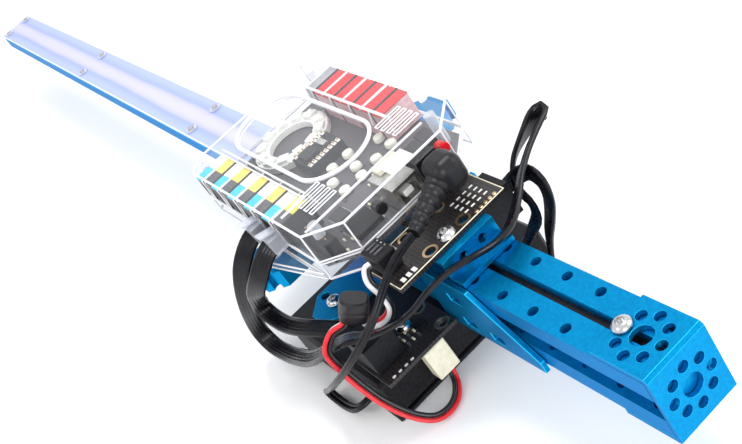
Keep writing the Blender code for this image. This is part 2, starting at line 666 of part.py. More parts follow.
# The short flat cable: fifth port to the motion sensor board's socket.
SHORT_RIBBON_ROUTE = [
    (182.2, -29.0, PORT_MIDDLE), (182.2, -38.0, PORT_MIDDLE), (182.2, -45.4, 65.5), (179.5, -52.2, 59.0),
    (172.0, -55.8, 50.5), (162.5, -55.8, 41.0), (157.5, -55.6, 34.5), (161.0, -55.2, 30.5),
    (171.0, -54.4, 30.0), (183.0, -52.4, 32.0), (194.0, -48.5, 33.0), (204.0, -43.4, 32.0),
    (211.0, -41.2, 31.3), (220.0, -41.2, 31.3)]

# The battery lead: from the plug's strain relief down to a fold in front of the battery box, and into the box.
BATTERY_LEAD_ROUTE = [
    (240.5, -11.5, 66.0), (241.0, -17.0, 65.4), (242.0, -24.0, 64.0), (243.5, -31.0, 61.0),
    (244.5, -38.0, 57.0), (243.5, -45.0, 52.5), (239.5, -52.0, 46.5), (232.0, -57.6, 39.0),
    (221.0, -61.0, 30.0), (208.0, -61.4, 20.0), (197.0, -61.2, 11.8), (190.5, -60.8, 7.4),
    (188.2, -60.6, 4.6), (191.5, -60.4, 2.3), (199.5, -60.2, 2.5), (207.0, -59.4, 4.6), (211.4, -57.4, 6.8),
    (212.2, -55.4, 7.3), (212.2, -52.5, 7.3)]

# The splice sleeve and the three-wire leads that meet in its lower end.
SLEEVE_TOP = Vector((235.4, -39.4, 61.0))
SLEEVE_LOW = Vector((226.0, -42.2, 48.2))
SLEEVE_ACROSS = Vector((0.504, 0.704, -0.5))
SLEEVE_SIZE = (11.0, 6.4)
LEAD_OFFSET = 2.4

# Adapter header to the sleeve.
SPLICE_LEAD_ROUTE = [
    (231.0, -27.2, 62.5), (231.0, -29.4, 62.4), (233.2, -31.6, 59.5), (235.6, -31.2, 54.0),
    (235.4, -31.4, 47.8), (231.6, -33.4, 42.4), (227.2, -36.8, 40.2), (224.9, -39.4, 41.6)]

# The sleeve to the plug under the sensor board, in a loop on the table.
PLUG_LEAD_ROUTE = [
    (222.0, -46.0, 46.6), (219.2, -50.8, 45.4), (218.2, -55.8, 40.2), (221.5, -56.2, 33.0),
    (226.5, -55.4, 25.5), (232.0, -53.4, 17.0), (237.5, -49.5, 8.8), (241.6, -44.5, 3.8),
    (242.6, -39.0, 2.3), (240.6, -33.6, 2.1), (236.4, -29.6, 2.5), (233.0, -27.6, 3.9), (232.1, -27.1, 6.9)]


def make_plugs(finishes):
    length, width, height = PLUG_HEAD
    start = CASE_POMMEL_SIDE + 1.2
    plug = box("battery_plug", (start, JACK_PLACE - width / 2, JACK_HEIGHT - height / 2),
               (start + length, JACK_PLACE + width / 2, JACK_HEIGHT + height / 2), finishes["black"], bevel=2.6)
    unite(plug, rod("battery_plug_barrel", (CASE_POMMEL_SIDE - 9, JACK_PLACE, JACK_HEIGHT),
                    (CASE_POMMEL_SIDE + 3, JACK_PLACE, JACK_HEIGHT), 2.75, None))
    unite(plug, rod("battery_plug_relief", (CASE_POMMEL_SIDE + 9.0, JACK_PLACE - 4, JACK_HEIGHT - 1), (240.3, -11.0, 66.1),
                    4.6, None, end_radius=2.6))
    box("sensor_plug", (228.8, -32.4, 7.4), (235.2, -22.6, SENSOR_LOW - 1.0), finishes["cream"], bevel=0.4)


def make_sleeve(finish):
    """A flat heat-shrunk sleeve, open at its lower end, where the two leads are joined."""
    along = (SLEEVE_TOP - SLEEVE_LOW).normalized()
    across = (SLEEVE_ACROSS - SLEEVE_ACROSS.dot(along) * along).normalized()
    turn = Matrix((across, along.cross(across), along)).transposed().to_4x4()
    middle = (SLEEVE_TOP + SLEEVE_LOW) / 2
    place = Matrix.Translation(middle) @ turn
    width, thickness = SLEEVE_SIZE
    length = (SLEEVE_TOP - SLEEVE_LOW).length
    shapes = []
    for name, size, shift in (("wire_sleeve", (width, thickness, length), 0.0),
                              ("wire_sleeve_hollow", (width - 1.6, thickness - 1.6, length), -2.0)):
        mesh_data = bmesh.new()
        matrix = Matrix.Translation(-middle) @ place @ Matrix.Translation((0, 0, shift))
        bmesh.ops.create_cube(mesh_data, size=1.0, matrix=matrix @ Matrix.Diagonal((*size, 1.0)))
        shapes.append(add_object(name, mesh_data, middle, finish))
    boolean(shapes[0], shapes[1], "DIFFERENCE")
    return across, along


def make_cables(finishes):
    ribbon("long_ribbon_cable", LONG_RIBBON_ROUTE, (1, 0, 0), (1, 0, 0), finishes["black"], count=80)
    ribbon("short_ribbon_cable", SHORT_RIBBON_ROUTE, (1, 0, 0), (0, 1, 0), finishes["black"], count=36)
    round_cable("battery_lead", BATTERY_LEAD_ROUTE, LEAD_DIAMETER, finishes["black"], count=40)
    across, along = make_sleeve(finishes["black"])
    entry = SLEEVE_LOW + 4 * along
    splice = [*SPLICE_LEAD_ROUTE, SLEEVE_LOW + LEAD_OFFSET * across, entry + LEAD_OFFSET * across]
    round_cable("splice_lead", splice, BUNDLE_DIAMETER, finishes["wire_red"], count=24)
    loop = [entry - LEAD_OFFSET * across, SLEEVE_LOW - LEAD_OFFSET * across, *PLUG_LEAD_ROUTE]
    round_cable("plug_lead", loop, BUNDLE_DIAMETER, finishes["wire_red"], count=40)


def main():
    clear_scene()
    anodised = material("blue_anodised", BLUE, 0.32, 1.0)
    steel = material("polished_steel", (0.72, 0.72, 0.73), 0.15, 1.0)
    clear_finish = material("clear_polycarbonate", CLEAR, 0.05, 0.0, 0.3)
    finishes = {
        "black": material("black_plastic", BLACK, 0.45),
        "port": material("port_plastic", BLACK, 0.4),
        "red_port": material("red_plastic", RED, 0.4),
        "grey_port": material("grey_plastic", (0.45, 0.45, 0.47), 0.4),
        "red": material("red_button", RED, 0.4),
        "white": material("white_plastic", (0.85, 0.85, 0.85), 0.4),
        "board": material("grey_circuit_board", (0.16, 0.16, 0.18), 0.45),
        "circuit": material("black_circuit_board", (0.015, 0.013, 0.013), 0.4),
        "steel": steel,
        "cell": material("cell_sleeve", (0.2, 0.2, 0.22), 0.35, 0.6),
        "cream": material("cream_nylon", (0.82, 0.78, 0.62), 0.5),
        "wire_red": material("red_wire", (0.6, 0.01, 0.02), 0.45),
    }
    make_handle(anodised, steel)
    make_blade(anodised, material("frosted_acrylic", (0.78, 0.8, 0.95), 0.5, 0.0, 0.7),
               material("strip_backing", (0.8, 0.8, 0.82), 0.5), clear_finish)
    make_guard(anodised)
    make_battery_strap(anodised, steel)
    make_adapter_mount(anodised)
    make_gusset(anodised)
    make_case(clear_finish)
    make_controller(finishes)
    make_adapter(finishes)
    make_sensor(finishes)
    make_battery_box(finishes)
    make_plugs(finishes)
    make_cables(finishes)


main()
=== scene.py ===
"""The looks of the light-up toy sword.

Every number is in millimetres, in the sword's own frame: X from the blade's tip to the pommel, Y to the
handle's back, Z up from the table.  Places come from the boxes of the parts that they belong to.
"""

import math

import bmesh
import bpy
from mathutils import Matrix, Vector


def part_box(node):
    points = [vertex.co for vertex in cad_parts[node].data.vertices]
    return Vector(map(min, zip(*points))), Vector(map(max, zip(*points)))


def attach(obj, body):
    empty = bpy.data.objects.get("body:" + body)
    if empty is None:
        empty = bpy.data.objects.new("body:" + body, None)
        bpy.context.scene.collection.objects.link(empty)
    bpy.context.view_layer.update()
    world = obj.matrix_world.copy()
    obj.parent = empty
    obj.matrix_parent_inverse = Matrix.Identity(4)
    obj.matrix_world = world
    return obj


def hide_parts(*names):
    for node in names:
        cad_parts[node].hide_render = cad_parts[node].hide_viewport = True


MM = 0.001
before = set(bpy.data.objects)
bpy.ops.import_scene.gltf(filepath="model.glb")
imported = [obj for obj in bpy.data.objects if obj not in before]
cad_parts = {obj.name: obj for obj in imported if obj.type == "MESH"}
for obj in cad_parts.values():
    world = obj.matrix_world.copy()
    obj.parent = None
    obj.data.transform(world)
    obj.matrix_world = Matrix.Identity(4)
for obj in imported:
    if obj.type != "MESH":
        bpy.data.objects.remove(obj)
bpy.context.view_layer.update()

CAMERA_PLACE = Vector((566.6, -105.7, 289.7))
CAMERA_FORWARD = Vector((-0.823, 0.215, -0.526))
CAMERA_RIGHT = Vector((0.504, 0.704, -0.5))
CAMERA_LENS = 58.64

AZURE = (0.002, 0.235, 0.52)
AZURE_LIGHT = (0.003, 0.285, 0.6)
# Brighter blue for the rounded edges of the blue parts: a painted highlight.
AZURE_PAINTED_HIGHLIGHT = (0.02, 0.5, 0.82)
AZURE_SHEEN = (0.08, 0.4, 0.75)
INK = (0.006, 0.006, 0.008)

WIRE_RADIUS = 0.9
TWIN_RADIUS = 1.0
PIN_PITCH = 2.54
NOISE_DETAIL = 4.0
SEAM_ANGLE = math.radians(35)
BEVEL_ANGLE = math.radians(40)


# ---------------------------------------------------------------- materials

def blank(name):
    finish = bpy.data.materials.new(name)
    finish.use_nodes = True
    return finish, finish.node_tree, finish.node_tree.nodes["Principled BSDF"]


def add_noise(tree, grain, stretch=(1, 1, 1)):
    """A noise pattern fixed to the object, with a grain in cells per metre."""
    place = tree.nodes.new("ShaderNodeTexCoord")
    mapping = tree.nodes.new("ShaderNodeMapping")
    mapping.inputs["Scale"].default_value = stretch
    noise = tree.nodes.new("ShaderNodeTexNoise")
    noise.inputs["Scale"].default_value = grain
    noise.inputs["Detail"].default_value = NOISE_DETAIL
    tree.links.new(place.outputs["Object"], mapping.inputs["Vector"])
    tree.links.new(mapping.outputs["Vector"], noise.inputs["Vector"])
    return noise


def add_ramp(tree, source, stops):
    ramp = tree.nodes.new("ShaderNodeValToRGB")
    elements = ramp.color_ramp.elements
    while len(elements) < len(stops):
        elements.new(0.5)
    for element, (place, colour) in zip(elements, stops):
        element.position = place
        element.color = (*colour, 1.0)
    tree.links.new(source, ramp.inputs["Fac"])
    return ramp


def add_relief(tree, shader, source, depth, strength=0.5):
    bump = tree.nodes.new("ShaderNodeBump")
    bump.inputs["Distance"].default_value = depth * MM
    bump.inputs["Strength"].default_value = strength
    tree.links.new(source, bump.inputs["Height"])
    tree.links.new(bump.outputs["Normal"], shader.inputs["Normal"])


def mottled(name, colour, accent, roughness, metallic=0.0, grain=300.0, relief=0.02, shine=0.5):
    """A surface whose colour and gloss drift between two close values, with a fine relief."""
    finish, tree, shader = blank(name)
    noise = add_noise(tree, grain)
    ramp = add_ramp(tree, noise.outputs["Fac"], [(0.35, colour), (0.65, accent)])
    tree.links.new(ramp.outputs["Color"], shader.inputs["Base Color"])
    gloss = tree.nodes.new("ShaderNodeMapRange")
    gloss.inputs["To Min"].default_value = max(roughness - 0.05, 0.02)
    gloss.inputs["To Max"].default_value = roughness + 0.07
    tree.links.new(noise.outputs["Fac"], gloss.inputs["Value"])
    tree.links.new(gloss.outputs["Result"], shader.inputs["Roughness"])
    add_relief(tree, shader, noise.outputs["Fac"], relief)
    shader.inputs["Metallic"].default_value = metallic
    shader.inputs["Specular IOR Level"].default_value = shine
    return finish


def anodised(name, colour, accent):
    """Satin blue anodising with a fine blasted grain."""
    finish = mottled(name, colour, accent, 0.34, metallic=0.7, grain=900.0, relief=0.004, shine=0.3)
    finish.node_tree.nodes["Principled BSDF"].inputs["Specular Tint"].default_value = (*AZURE_SHEEN, 1.0)
    return finish


def frosted():
    """Frosted cover: bluish where it lies on the beam, and paler over the white strip along its middle."""
    finish, tree, shader = blank("frosted_acrylic")
    place = tree.nodes.new("ShaderNodeTexCoord")
    axes = tree.nodes.new("ShaderNodeSeparateXYZ")
    side = tree.nodes.new("ShaderNodeMath")
    side.operation = "ABSOLUTE"
    width = tree.nodes.new("ShaderNodeMath")
    width.operation = "MULTIPLY"
    width.inputs[1].default_value = 1 / (12 * MM)
    drift = add_noise(tree, 26.0, (0.35, 1, 1))
    sway = tree.nodes.new("ShaderNodeMath")
    sway.operation = "MULTIPLY_ADD"
    sway.inputs[1].default_value = 0.35
    tree.links.new(place.outputs["Object"], axes.inputs["Vector"])
    tree.links.new(axes.outputs["Y"], side.inputs[0])
    tree.links.new(side.outputs[0], width.inputs[0])
    tree.links.new(drift.outputs["Fac"], sway.inputs[0])
    tree.links.new(width.outputs[0], sway.inputs[2])
    ramp = add_ramp(tree, sway.outputs[0], [(0.3, (0.58, 0.57, 0.82)), (0.48, (0.5, 0.51, 0.8)),
                                            (0.62, (0.32, 0.4, 0.79)), (0.95, (0.4, 0.48, 0.82))])
    tree.links.new(ramp.outputs["Color"], shader.inputs["Base Color"])
    grain = add_noise(tree, 1400.0)
    add_relief(tree, shader, grain.outputs["Fac"], 0.01)
    shader.inputs["Roughness"].default_value = 0.38
    return finish


def clear(name, facing, grazing, tint=(0.93, 0.95, 1.0)):
    """Clear moulded plastic with faint flow marks: it hides more of what's behind it at a grazing angle."""
    finish = mottled(name, tint, tuple(0.9 * part for part in tint), 0.09, grain=60.0, relief=0.05)
    tree = finish.node_tree
    weight = tree.nodes.new("ShaderNodeLayerWeight")
    weight.inputs["Blend"].default_value = 0.3
    cover = tree.nodes.new("ShaderNodeMapRange")
    cover.inputs["To Min"].default_value = facing
    cover.inputs["To Max"].default_value = grazing
    tree.links.new(weight.outputs["Facing"], cover.inputs["Value"])
    tree.links.new(cover.outputs["Result"], tree.nodes["Principled BSDF"].inputs["Alpha"])
    return finish


def solder_mask(name, colour, trace):
    """A lacquered circuit board with faint tracks under the lacquer."""
    finish, tree, shader = blank(name)
    place = tree.nodes.new("ShaderNodeTexCoord")
    bricks = tree.nodes.new("ShaderNodeTexBrick")
    bricks.inputs["Color1"].default_value = (*colour, 1.0)
    bricks.inputs["Color2"].default_value = (*[part * 1.25 for part in colour], 1.0)
    bricks.inputs["Mortar"].default_value = (*trace, 1.0)
    bricks.inputs["Scale"].default_value = 160.0
    bricks.inputs["Mortar Size"].default_value = 0.035
    tree.links.new(place.outputs["Object"], bricks.inputs["Vector"])
    tree.links.new(bricks.outputs["Color"], shader.inputs["Base Color"])
    grain = add_noise(tree, 500.0)
    add_relief(tree, shader, grain.outputs["Fac"], 0.01)
    shader.inputs["Roughness"].default_value = 0.32
    return finish


def make_finishes():
    return {
        "blue": anodised("blue_anodised", AZURE, AZURE_LIGHT),
        # A lighter copy of the blue anodising for the rounded edges: a painted highlight.
        "blue_painted_highlight": anodised("blue_anodised_painted_highlight", AZURE_PAINTED_HIGHLIGHT, AZURE_PAINTED_HIGHLIGHT),
        "frosted": frosted(),
        "strip": mottled("strip_backing", (0.8, 0.8, 0.84), (0.9, 0.9, 0.92), 0.5),
        "clear": clear("clear_polycarbonate", 0.015, 0.14),
        # Nearly opaque pale plastic for the edges and ribs of the clear parts: a painted highlight.
        "edge": clear("clear_painted_highlight", 0.78, 0.98, (0.94, 0.95, 0.98)),
        "crystal": clear("clear_rivet", 0.35, 0.9, (0.72, 0.75, 0.83)),
        "board": solder_mask("grey_circuit_board", (0.062, 0.058, 0.066), (0.1, 0.1, 0.11)),
        "circuit": solder_mask("black_circuit_board", (0.012, 0.01, 0.011), (0.035, 0.03, 0.03)),
        "plastic": mottled("black_plastic", INK, (0.014, 0.014, 0.017), 0.42, grain=900.0, shine=0.2),
        "gloss": mottled("glossy_black_plastic", INK, (0.01, 0.01, 0.013), 0.36, grain=200.0,
                         relief=0.005, shine=0.35),
        "jacket": mottled("cable_jacket", (0.004, 0.004, 0.006), (0.008, 0.008, 0.011), 0.27,
                          relief=0.003, shine=0.25),
        "red": mottled("red_plastic", (0.62, 0.003, 0.008), (0.68, 0.006, 0.012), 0.45, grain=600.0,
                       relief=0.008, shine=0.2),
        "cyan": mottled("cyan_label", (0.02, 0.52, 0.78), (0.03, 0.6, 0.84), 0.45, grain=500.0, shine=0.2),
        "yellow": mottled("yellow_label", (0.93, 0.72, 0.1), (0.96, 0.8, 0.2), 0.45, grain=500.0, shine=0.2),
        "white": mottled("white_plastic", (0.82, 0.83, 0.8), (0.93, 0.94, 0.9), 0.34, grain=400.0),
        "lamp": mottled("led_lens", (0.93, 0.93, 0.8), (0.98, 0.96, 0.86), 0.15),
        # Pale pink for the motor ports: their red plastic, lightened by a painted reflection of the white
        # surroundings.
        "pale_red_painted_reflection": mottled("red_port_wall_painted_reflection", (0.55, 0.3, 0.32), (0.7, 0.46, 0.48), 0.35, grain=500.0),
        "grey": mottled("grey_plastic", (0.3, 0.3, 0.34), (0.4, 0.4, 0.43), 0.4, grain=600.0),
        "dark": mottled("dark_grey_plastic", (0.05, 0.05, 0.058), (0.08, 0.08, 0.09), 0.42, grain=600.0),
        "cream": mottled("cream_nylon", (0.78, 0.72, 0.52), (0.86, 0.81, 0.64), 0.45, grain=500.0),
        "chrome": mottled("polished_steel", (0.6, 0.6, 0.61), (0.68, 0.68, 0.69), 0.2, 1.0, grain=250.0,
                          relief=0.001),
        "tin": mottled("tinned_steel", (0.55, 0.55, 0.54), (0.7, 0.69, 0.66), 0.3, 1.0, grain=500.0),
        "gold": mottled("gold_plate", (0.72, 0.5, 0.28), (0.86, 0.64, 0.4), 0.3, 1.0, grain=500.0),
        "cell": mottled("cell_sleeve", (0.12, 0.12, 0.14), (0.2, 0.2, 0.23), 0.3),
        "wire_red": mottled("red_wire", (0.6, 0.008, 0.015), (0.72, 0.02, 0.03), 0.35, grain=400.0),
        "wire_white": mottled("white_wire", (0.78, 0.77, 0.8), (0.9, 0.89, 0.9), 0.35, grain=400.0),
        "wire_black": mottled("black_wire", INK, (0.014, 0.014, 0.016), 0.3, grain=400.0),
    }


FINISHES = make_finishes()


# ---------------------------------------------------------------- mesh tools

def span(node):
    """Lowest and highest corner of a part, in millimetres."""
    low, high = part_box(node)
    return low / MM, high / MM


def middle_of(node):
    low, high = span(node)
    return (low + high) / 2


def give_slot(verts, slot):
    for face in {face for vert in verts for face in vert.link_faces}:
        face.material_index = slot


def block(shape, low, high, slot=0, turn=None):
    """A block between two corners, turned about its own middle."""
    size = Vector(high) - Vector(low)
    place = Matrix.Translation((Vector(high) + Vector(low)) / 2)
    if turn:
        place = place @ turn
    made = bmesh.ops.create_cube(shape, size=1.0, matrix=place @ Matrix.Diagonal((*size, 1.0)))
    give_slot(made["verts"], slot)


def circle(sides):
    """The cosine and sine of each step round a circle."""
    return [(math.cos(math.tau * step / sides), math.sin(math.tau * step / sides)) for step in range(sides)]


def loft(shape, rings, slot=0, looped=False):
    """Join rings of points into a tube: its ends are closed, or meet when it is looped."""
    rings = [[shape.verts.new(point) for point in ring] for ring in rings]
    pairs = list(zip(rings, rings[1:]))
    if looped:
        faces = []
        pairs.append((rings[-1], rings[0]))
    else:
        faces = [shape.faces.new(rings[0]), shape.faces.new(rings[-1])]
    count = len(rings[0])
    for here, there in pairs:
        for step in range(count):
            after = (step + 1) % count
            faces.append(shape.faces.new((here[step], here[after], there[after], there[step])))
    for face in faces:
        face.material_index = slot


def lathe(shape, centre, profile, axis=(0, 0, 1), sides=24, slot=0):
    """A closed turned shape: the profile is (radius, distance along the axis) from one end to the other."""
    turn = Vector((0, 0, 1)).rotation_difference(Vector(axis)).to_matrix()
    loft(shape, [[Vector(centre) + turn @ Vector((radius * c, radius * s, along)) for c, s in circle(sides)]
                 for radius, along in profile], slot)


def ring_plate(shape, centre, inner, outer, low, high, slot):
    """A flat ring with an open middle."""
    loft(shape, [[Vector((centre[0] + radius * c, centre[1] + radius * s, height)) for c, s in circle(28)]
                 for radius, height in ((inner, low), (outer, low), (outer, high), (inner, high))],
         slot, looped=True)


def headings(points):
    last = len(points) - 1
    return [(points[min(index + 1, last)] - points[max(index - 1, 0)]).normalized()
            for index in range(len(points))]


def square_to(vector, heading):
    """What of a vector is square to a heading, with a length of 1."""
    return (vector - vector.dot(heading) * heading).normalized()


def carried_sides(points, first_side):
    """The direction across a cable at each point, turning as little as it can."""
    sides = []
    side = Vector(first_side)
    ahead = headings(points)
    for heading in ahead:
        side = square_to(side, heading)
        sides.append(side)
    return sides, ahead


def tube(shape, points, radius, sides=8, slot=0):
    """A round bead along a line of points."""
    points = [Vector(point) for point in points]
    first = (points[1] - points[0]).orthogonal()
    loft(shape, [[point + radius * (side * c + ahead.cross(side) * s) for c, s in circle(sides)]
                 for point, side, ahead in zip(points, *carried_sides(points, first))], slot)


def bars(shape, points, radius, closed=False, slot=0):
    """A straight bead between each two neighbours in a list of corners."""
    ends = list(zip(points, points[1:]))
    if closed:
        ends.append((points[-1], points[0]))
    for start, end in ends:
        tube(shape, [start, end], radius, 8, slot)


def piece(name, shape, finishes, bevel=0.0, segments=2, smooth=True):
    """Turn a bmesh into a piece that rides on the sword's body, with its finishes by name."""
    bmesh.ops.scale(shape, vec=(MM, MM, MM), verts=shape.verts)
    bmesh.ops.recalc_face_normals(shape, faces=shape.faces)
    mesh = bpy.data.meshes.new(name)
    shape.to_mesh(mesh)
    shape.free()
    for finish in finishes:
        mesh.materials.append(FINISHES[finish])
    if smooth:
        mesh.shade_smooth()
        mesh.set_sharp_from_angle(angle=SEAM_ANGLE)
    thing = bpy.data.objects.new(name, mesh)
    bpy.context.collection.objects.link(thing)
    if bevel:
        round_edges(thing, bevel, segments)
    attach(thing, "sword")
    return thing


def round_edges(thing, width, segments=2):
    modifier = thing.modifiers.new("round", "BEVEL")
    modifier.width = width * MM
    modifier.segments = segments
    modifier.limit_method = "ANGLE"
    modifier.angle_limit = BEVEL_ANGLE
    modifier.harden_normals = True


def dress(node, finish, width=0.0, edge=None):
    """Give a part its finish, and rounded edges where the real one has them; with an edge finish, the
    rounded edges get a brighter copy of the finish, a painted highlight.
    """
    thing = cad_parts[node]
    thing.data.materials.clear()
    thing.data.materials.append(FINISHES[finish])
    if width:
        weld = thing.modifiers.new("weld", "WELD")
        weld.merge_threshold = 0.001 * MM
        flat = thing.modifiers.new("flat", "DECIMATE")
        flat.decimate_type = "DISSOLVE"
        flat.angle_limit = math.radians(1)
        round_edges(thing, width)
        # The bevel faces get the brighter edge finish: a painted highlight on the rounded edges.
        if edge:
            thing.data.materials.append(FINISHES[edge])
            thing.modifiers["round"].material = 1


# ---------------------------------------------------------------- camera, floor and lights

def make_camera():
    data = bpy.data.cameras.new("camera")
    data.lens = CAMERA_LENS
    data.sensor_width = 36.0
    data.clip_start = 0.01
    data.clip_end = 20.0
    camera = bpy.data.objects.new("camera", data)
    forward = CAMERA_FORWARD.normalized()
    right = square_to(CAMERA_RIGHT, forward)
    up = right.cross(forward)
    turn = Matrix((right, up, -forward)).transposed().to_4x4()
    camera.matrix_world = Matrix.Translation(CAMERA_PLACE * MM) @ turn
    bpy.context.collection.objects.link(camera)
    bpy.context.scene.camera = camera


def make_floor():
    shape = bmesh.new()
    bmesh.ops.create_grid(shape, x_segments=1, y_segments=1, size=6.0)
    mesh = bpy.data.meshes.new("floor")
    shape.to_mesh(mesh)
    shape.free()
    finish = mottled("pale_floor", (0.97, 0.97, 0.97), (0.98, 0.98, 0.98), 0.8, grain=3.0, relief=0.0)
    mesh.materials.append(finish)
    floor = bpy.data.objects.new("floor", mesh)
    bpy.context.collection.objects.link(floor)


def add_light(name, place, target, size, power):
    data = bpy.data.lights.new(name, "AREA")
    data.shape = "DISK"
    data.size = size
    data.energy = power
    light = bpy.data.objects.new(name, data)
    light.location = place
    light.rotation_euler = (Vector(target) - Vector(place)).to_track_quat("-Z", "Y").to_euler()
    bpy.context.collection.objects.link(light)


def make_lights():
    world = bpy.data.worlds.new("studio")
    world.use_nodes = True
    world.node_tree.nodes["Background"].inputs["Color"].default_value = (0.98, 0.985, 1.0, 1.0)
    world.node_tree.nodes["Background"].inputs["Strength"].default_value = 1.0
    bpy.context.scene.world = world
    add_light("key", (0.15, 0.45, 1.3), (0.1, 0, 0), 0.5, 7)
    add_light("fill", (0.9, 0.9, 0.6), (0.2, 0, 0), 0.8, 4)
    add_light("front", (1.3, -0.35, 0.45), (0.3, 0, 0.03), 0.5, 5)
    add_light("side", (0.2, -0.9, 0.9), (0.0, 0, 0), 0.5, 2)
    bpy.context.scene.view_settings.view_transform = "Standard"


# ---------------------------------------------------------------- cables

def smooth_route(route, count):
    """Points evenly spaced along a smooth curve through the route's own points."""
    points = [Vector(point) for point in route]
    padded = [2 * points[0] - points[1], *points, 2 * points[-1] - points[-2]]
    fine = []
    for index in range(1, len(padded) - 2):
        before, start, end, after = padded[index - 1:index + 3]
        for step in range(24):
            t = step / 24
            fine.append(0.5 * (2 * start + (end - before) * t
                               + (2 * before - 5 * start + 4 * end - after) * t * t
                               + (3 * start - before - 3 * end + after) * t ** 3))
    fine.append(points[-1])
    lengths = [0.0]
    for here, there in zip(fine, fine[1:]):
        lengths.append(lengths[-1] + (there - here).length)
    spaced, index = [], 0
    for step in range(count):
        target = lengths[-1] * step / (count - 1)
        while index < len(fine) - 2 and lengths[index + 1] < target:
            index += 1
        share = (target - lengths[index]) / (lengths[index + 1] - lengths[index])
        spaced.append(fine[index].lerp(fine[index + 1], share))
    return spaced


PORT_MIDDLE = 67.5
RIBBON_WIDTH = 7.4
RIBBON_HALF_THICK = 1.1
CONTACTS = 6
CABLE_FACING = -CAMERA_FORWARD

# How far each flat cable has rolled from face-on to edge-on, at shares of its length.
LONG_RIBBON_ROLLS = [(0.0, 0.0), (0.2, 0.15), (0.3, 0.6), (0.4, 1.0), (0.85, 1.0), (1.0, 0.6)]
SHORT_RIBBON_ROLLS = [(0.0, 0.0), (0.5, 0.2), (1.0, 0.5)]

LONG_RIBBON_ROUTE = [
    (166.5, -29.0, PORT_MIDDLE), (166.5, -38.0, PORT_MIDDLE), (167.0, -45.5, 65.5), (165.0, -52.5, 59.0),
    (160.0, -56.8, 49.0), (152.0, -59.4, 36.0), (142.0, -60.2, 22.0), (138.0, -60.4, 13.0),
    (143.0, -60.2, 7.5), (156.0, -59.4, 9.0), (170.0, -58.8, 14.0), (186.0, -58.0, 21.0),
    (200.0, -56.4, 28.8), (211.0, -53.0, 35.4), (221.5, -48.2, 40.6), (230.5, -42.4, 41.4),
    (238.0, -35.0, 42.8), (244.0, -28.0, 46.0), (248.0, -20.5, 50.5), (253.0, -12.5, 54.0),
    (258.5, -4.5, 55.5), (260.5, 4.0, 54.5), (257.5, 13.0, 53.0), (251.5, 22.5, 53.8), (245.8, 31.0, 56.0),
    (241.0, 40.2, 58.0), (238.2, 48.7, 60.0), (236.6, 54.4, 61.2), (233.8, 56.0, 61.0), (231.8, 52.6, 60.0),
    (232.4, 45.6, 58.0), (233.4, 37.5, 54.5), (236.0, 32.0, 50.0), (240.6, 30.0, 46.6), (244.8, 29.4, 43.4),
    (244.0, 28.6, 37.0), (238.6, 26.4, 30.0), (233.8, 22.6, 22.0), (232.0, 19.6, 13.5), (233.5, 19.0, 7.2),
    (236.8, 21.4, 4.6), (238.4, 25.2, 8.0), (238.2, 28.2, 15.5), (241.0, 30.4, 25.0), (248.0, 31.6, 36.5),
    (252.0, 32.8, 45.5), (250.6, 34.2, 51.4), (244.8, 34.8, 53.4), (239.0, 33.6, 51.6), (235.9, 29.2, 49.6),
    (235.3, 22.0, 49.3)]

SHORT_RIBBON_ROUTE = [
    (182.2, -29.0, PORT_MIDDLE), (182.2, -38.0, PORT_MIDDLE), (182.2, -45.4, 65.5), (179.5, -52.2, 59.0),
    (172.0, -55.8, 50.5), (162.5, -55.8, 41.0), (157.5, -55.6, 34.5), (161.0, -55.2, 30.5),
    (171.0, -54.4, 30.0), (183.0, -52.4, 32.0), (194.0, -48.5, 33.0), (204.0, -43.4, 32.0),
    (211.0, -41.2, 31.3), (220.0, -41.2, 31.3)]

BATTERY_LEAD_ROUTE = [
    (240.5, -11.5, 66.0), (241.0, -17.0, 65.4), (242.0, -24.0, 64.0), (243.5, -31.0, 61.0),
    (244.5, -38.0, 57.0), (243.5, -45.0, 52.5), (239.5, -52.0, 46.5), (232.0, -57.6, 39.0),
    (221.0, -61.0, 30.0), (208.0, -61.4, 20.0), (197.0, -61.2, 11.8), (190.5, -60.8, 7.4),
    (188.2, -60.6, 4.6), (191.5, -60.4, 2.3), (199.5, -60.2, 2.5), (207.0, -59.4, 4.6), (211.4, -57.4, 6.8),
    (212.2, -55.4, 7.3), (212.2, -52.5, 7.3)]

SLEEVE_TOP = Vector((235.4, -39.4, 61.0))
SLEEVE_LOW = Vector((226.0, -42.2, 48.2))
SLEEVE_ACROSS = CAMERA_RIGHT
SLEEVE_SIZE = (11.0, 6.4)
LEAD_OFFSET = 2.4

SPLICE_LEAD_ROUTE = [
    (231.0, -27.2, 62.5), (231.0, -29.4, 62.4), (233.2, -31.6, 59.5), (235.6, -31.2, 54.0),
    (235.4, -31.4, 47.8), (231.6, -33.4, 42.4), (227.2, -36.8, 40.2), (224.9, -39.4, 41.6)]

PLUG_LEAD_ROUTE = [
    (222.0, -46.0, 46.6), (219.2, -50.8, 45.4), (218.2, -55.8, 40.2), (221.5, -56.2, 33.0),
    (226.5, -55.4, 25.5), (232.0, -53.4, 17.0), (237.5, -49.5, 8.8), (241.6, -44.5, 3.8),
    (242.6, -39.0, 2.3), (240.6, -33.6, 2.1), (236.4, -29.6, 2.5), (233.0, -27.6, 3.9), (232.1, -27.1, 6.9)]


def flat_section(half_width, half_thick):
    """The outline across a flat cable: two flat sides with six shallow wire ridges, and round edges."""
    steps = CONTACTS * 4
    top = []
    for step in range(steps + 1):
        across = -1 + 2 * step / steps
        swell = 0.86 + 0.1 * abs(math.sin(math.pi * (across + 1) * CONTACTS / 2))
        round_off = math.sqrt(max(0.0, 1 - abs(across) ** 6))
        top.append((across * half_width, half_thick * swell * round_off))
    return top + [(x, -y) for x, y in reversed(top[1:-1])]


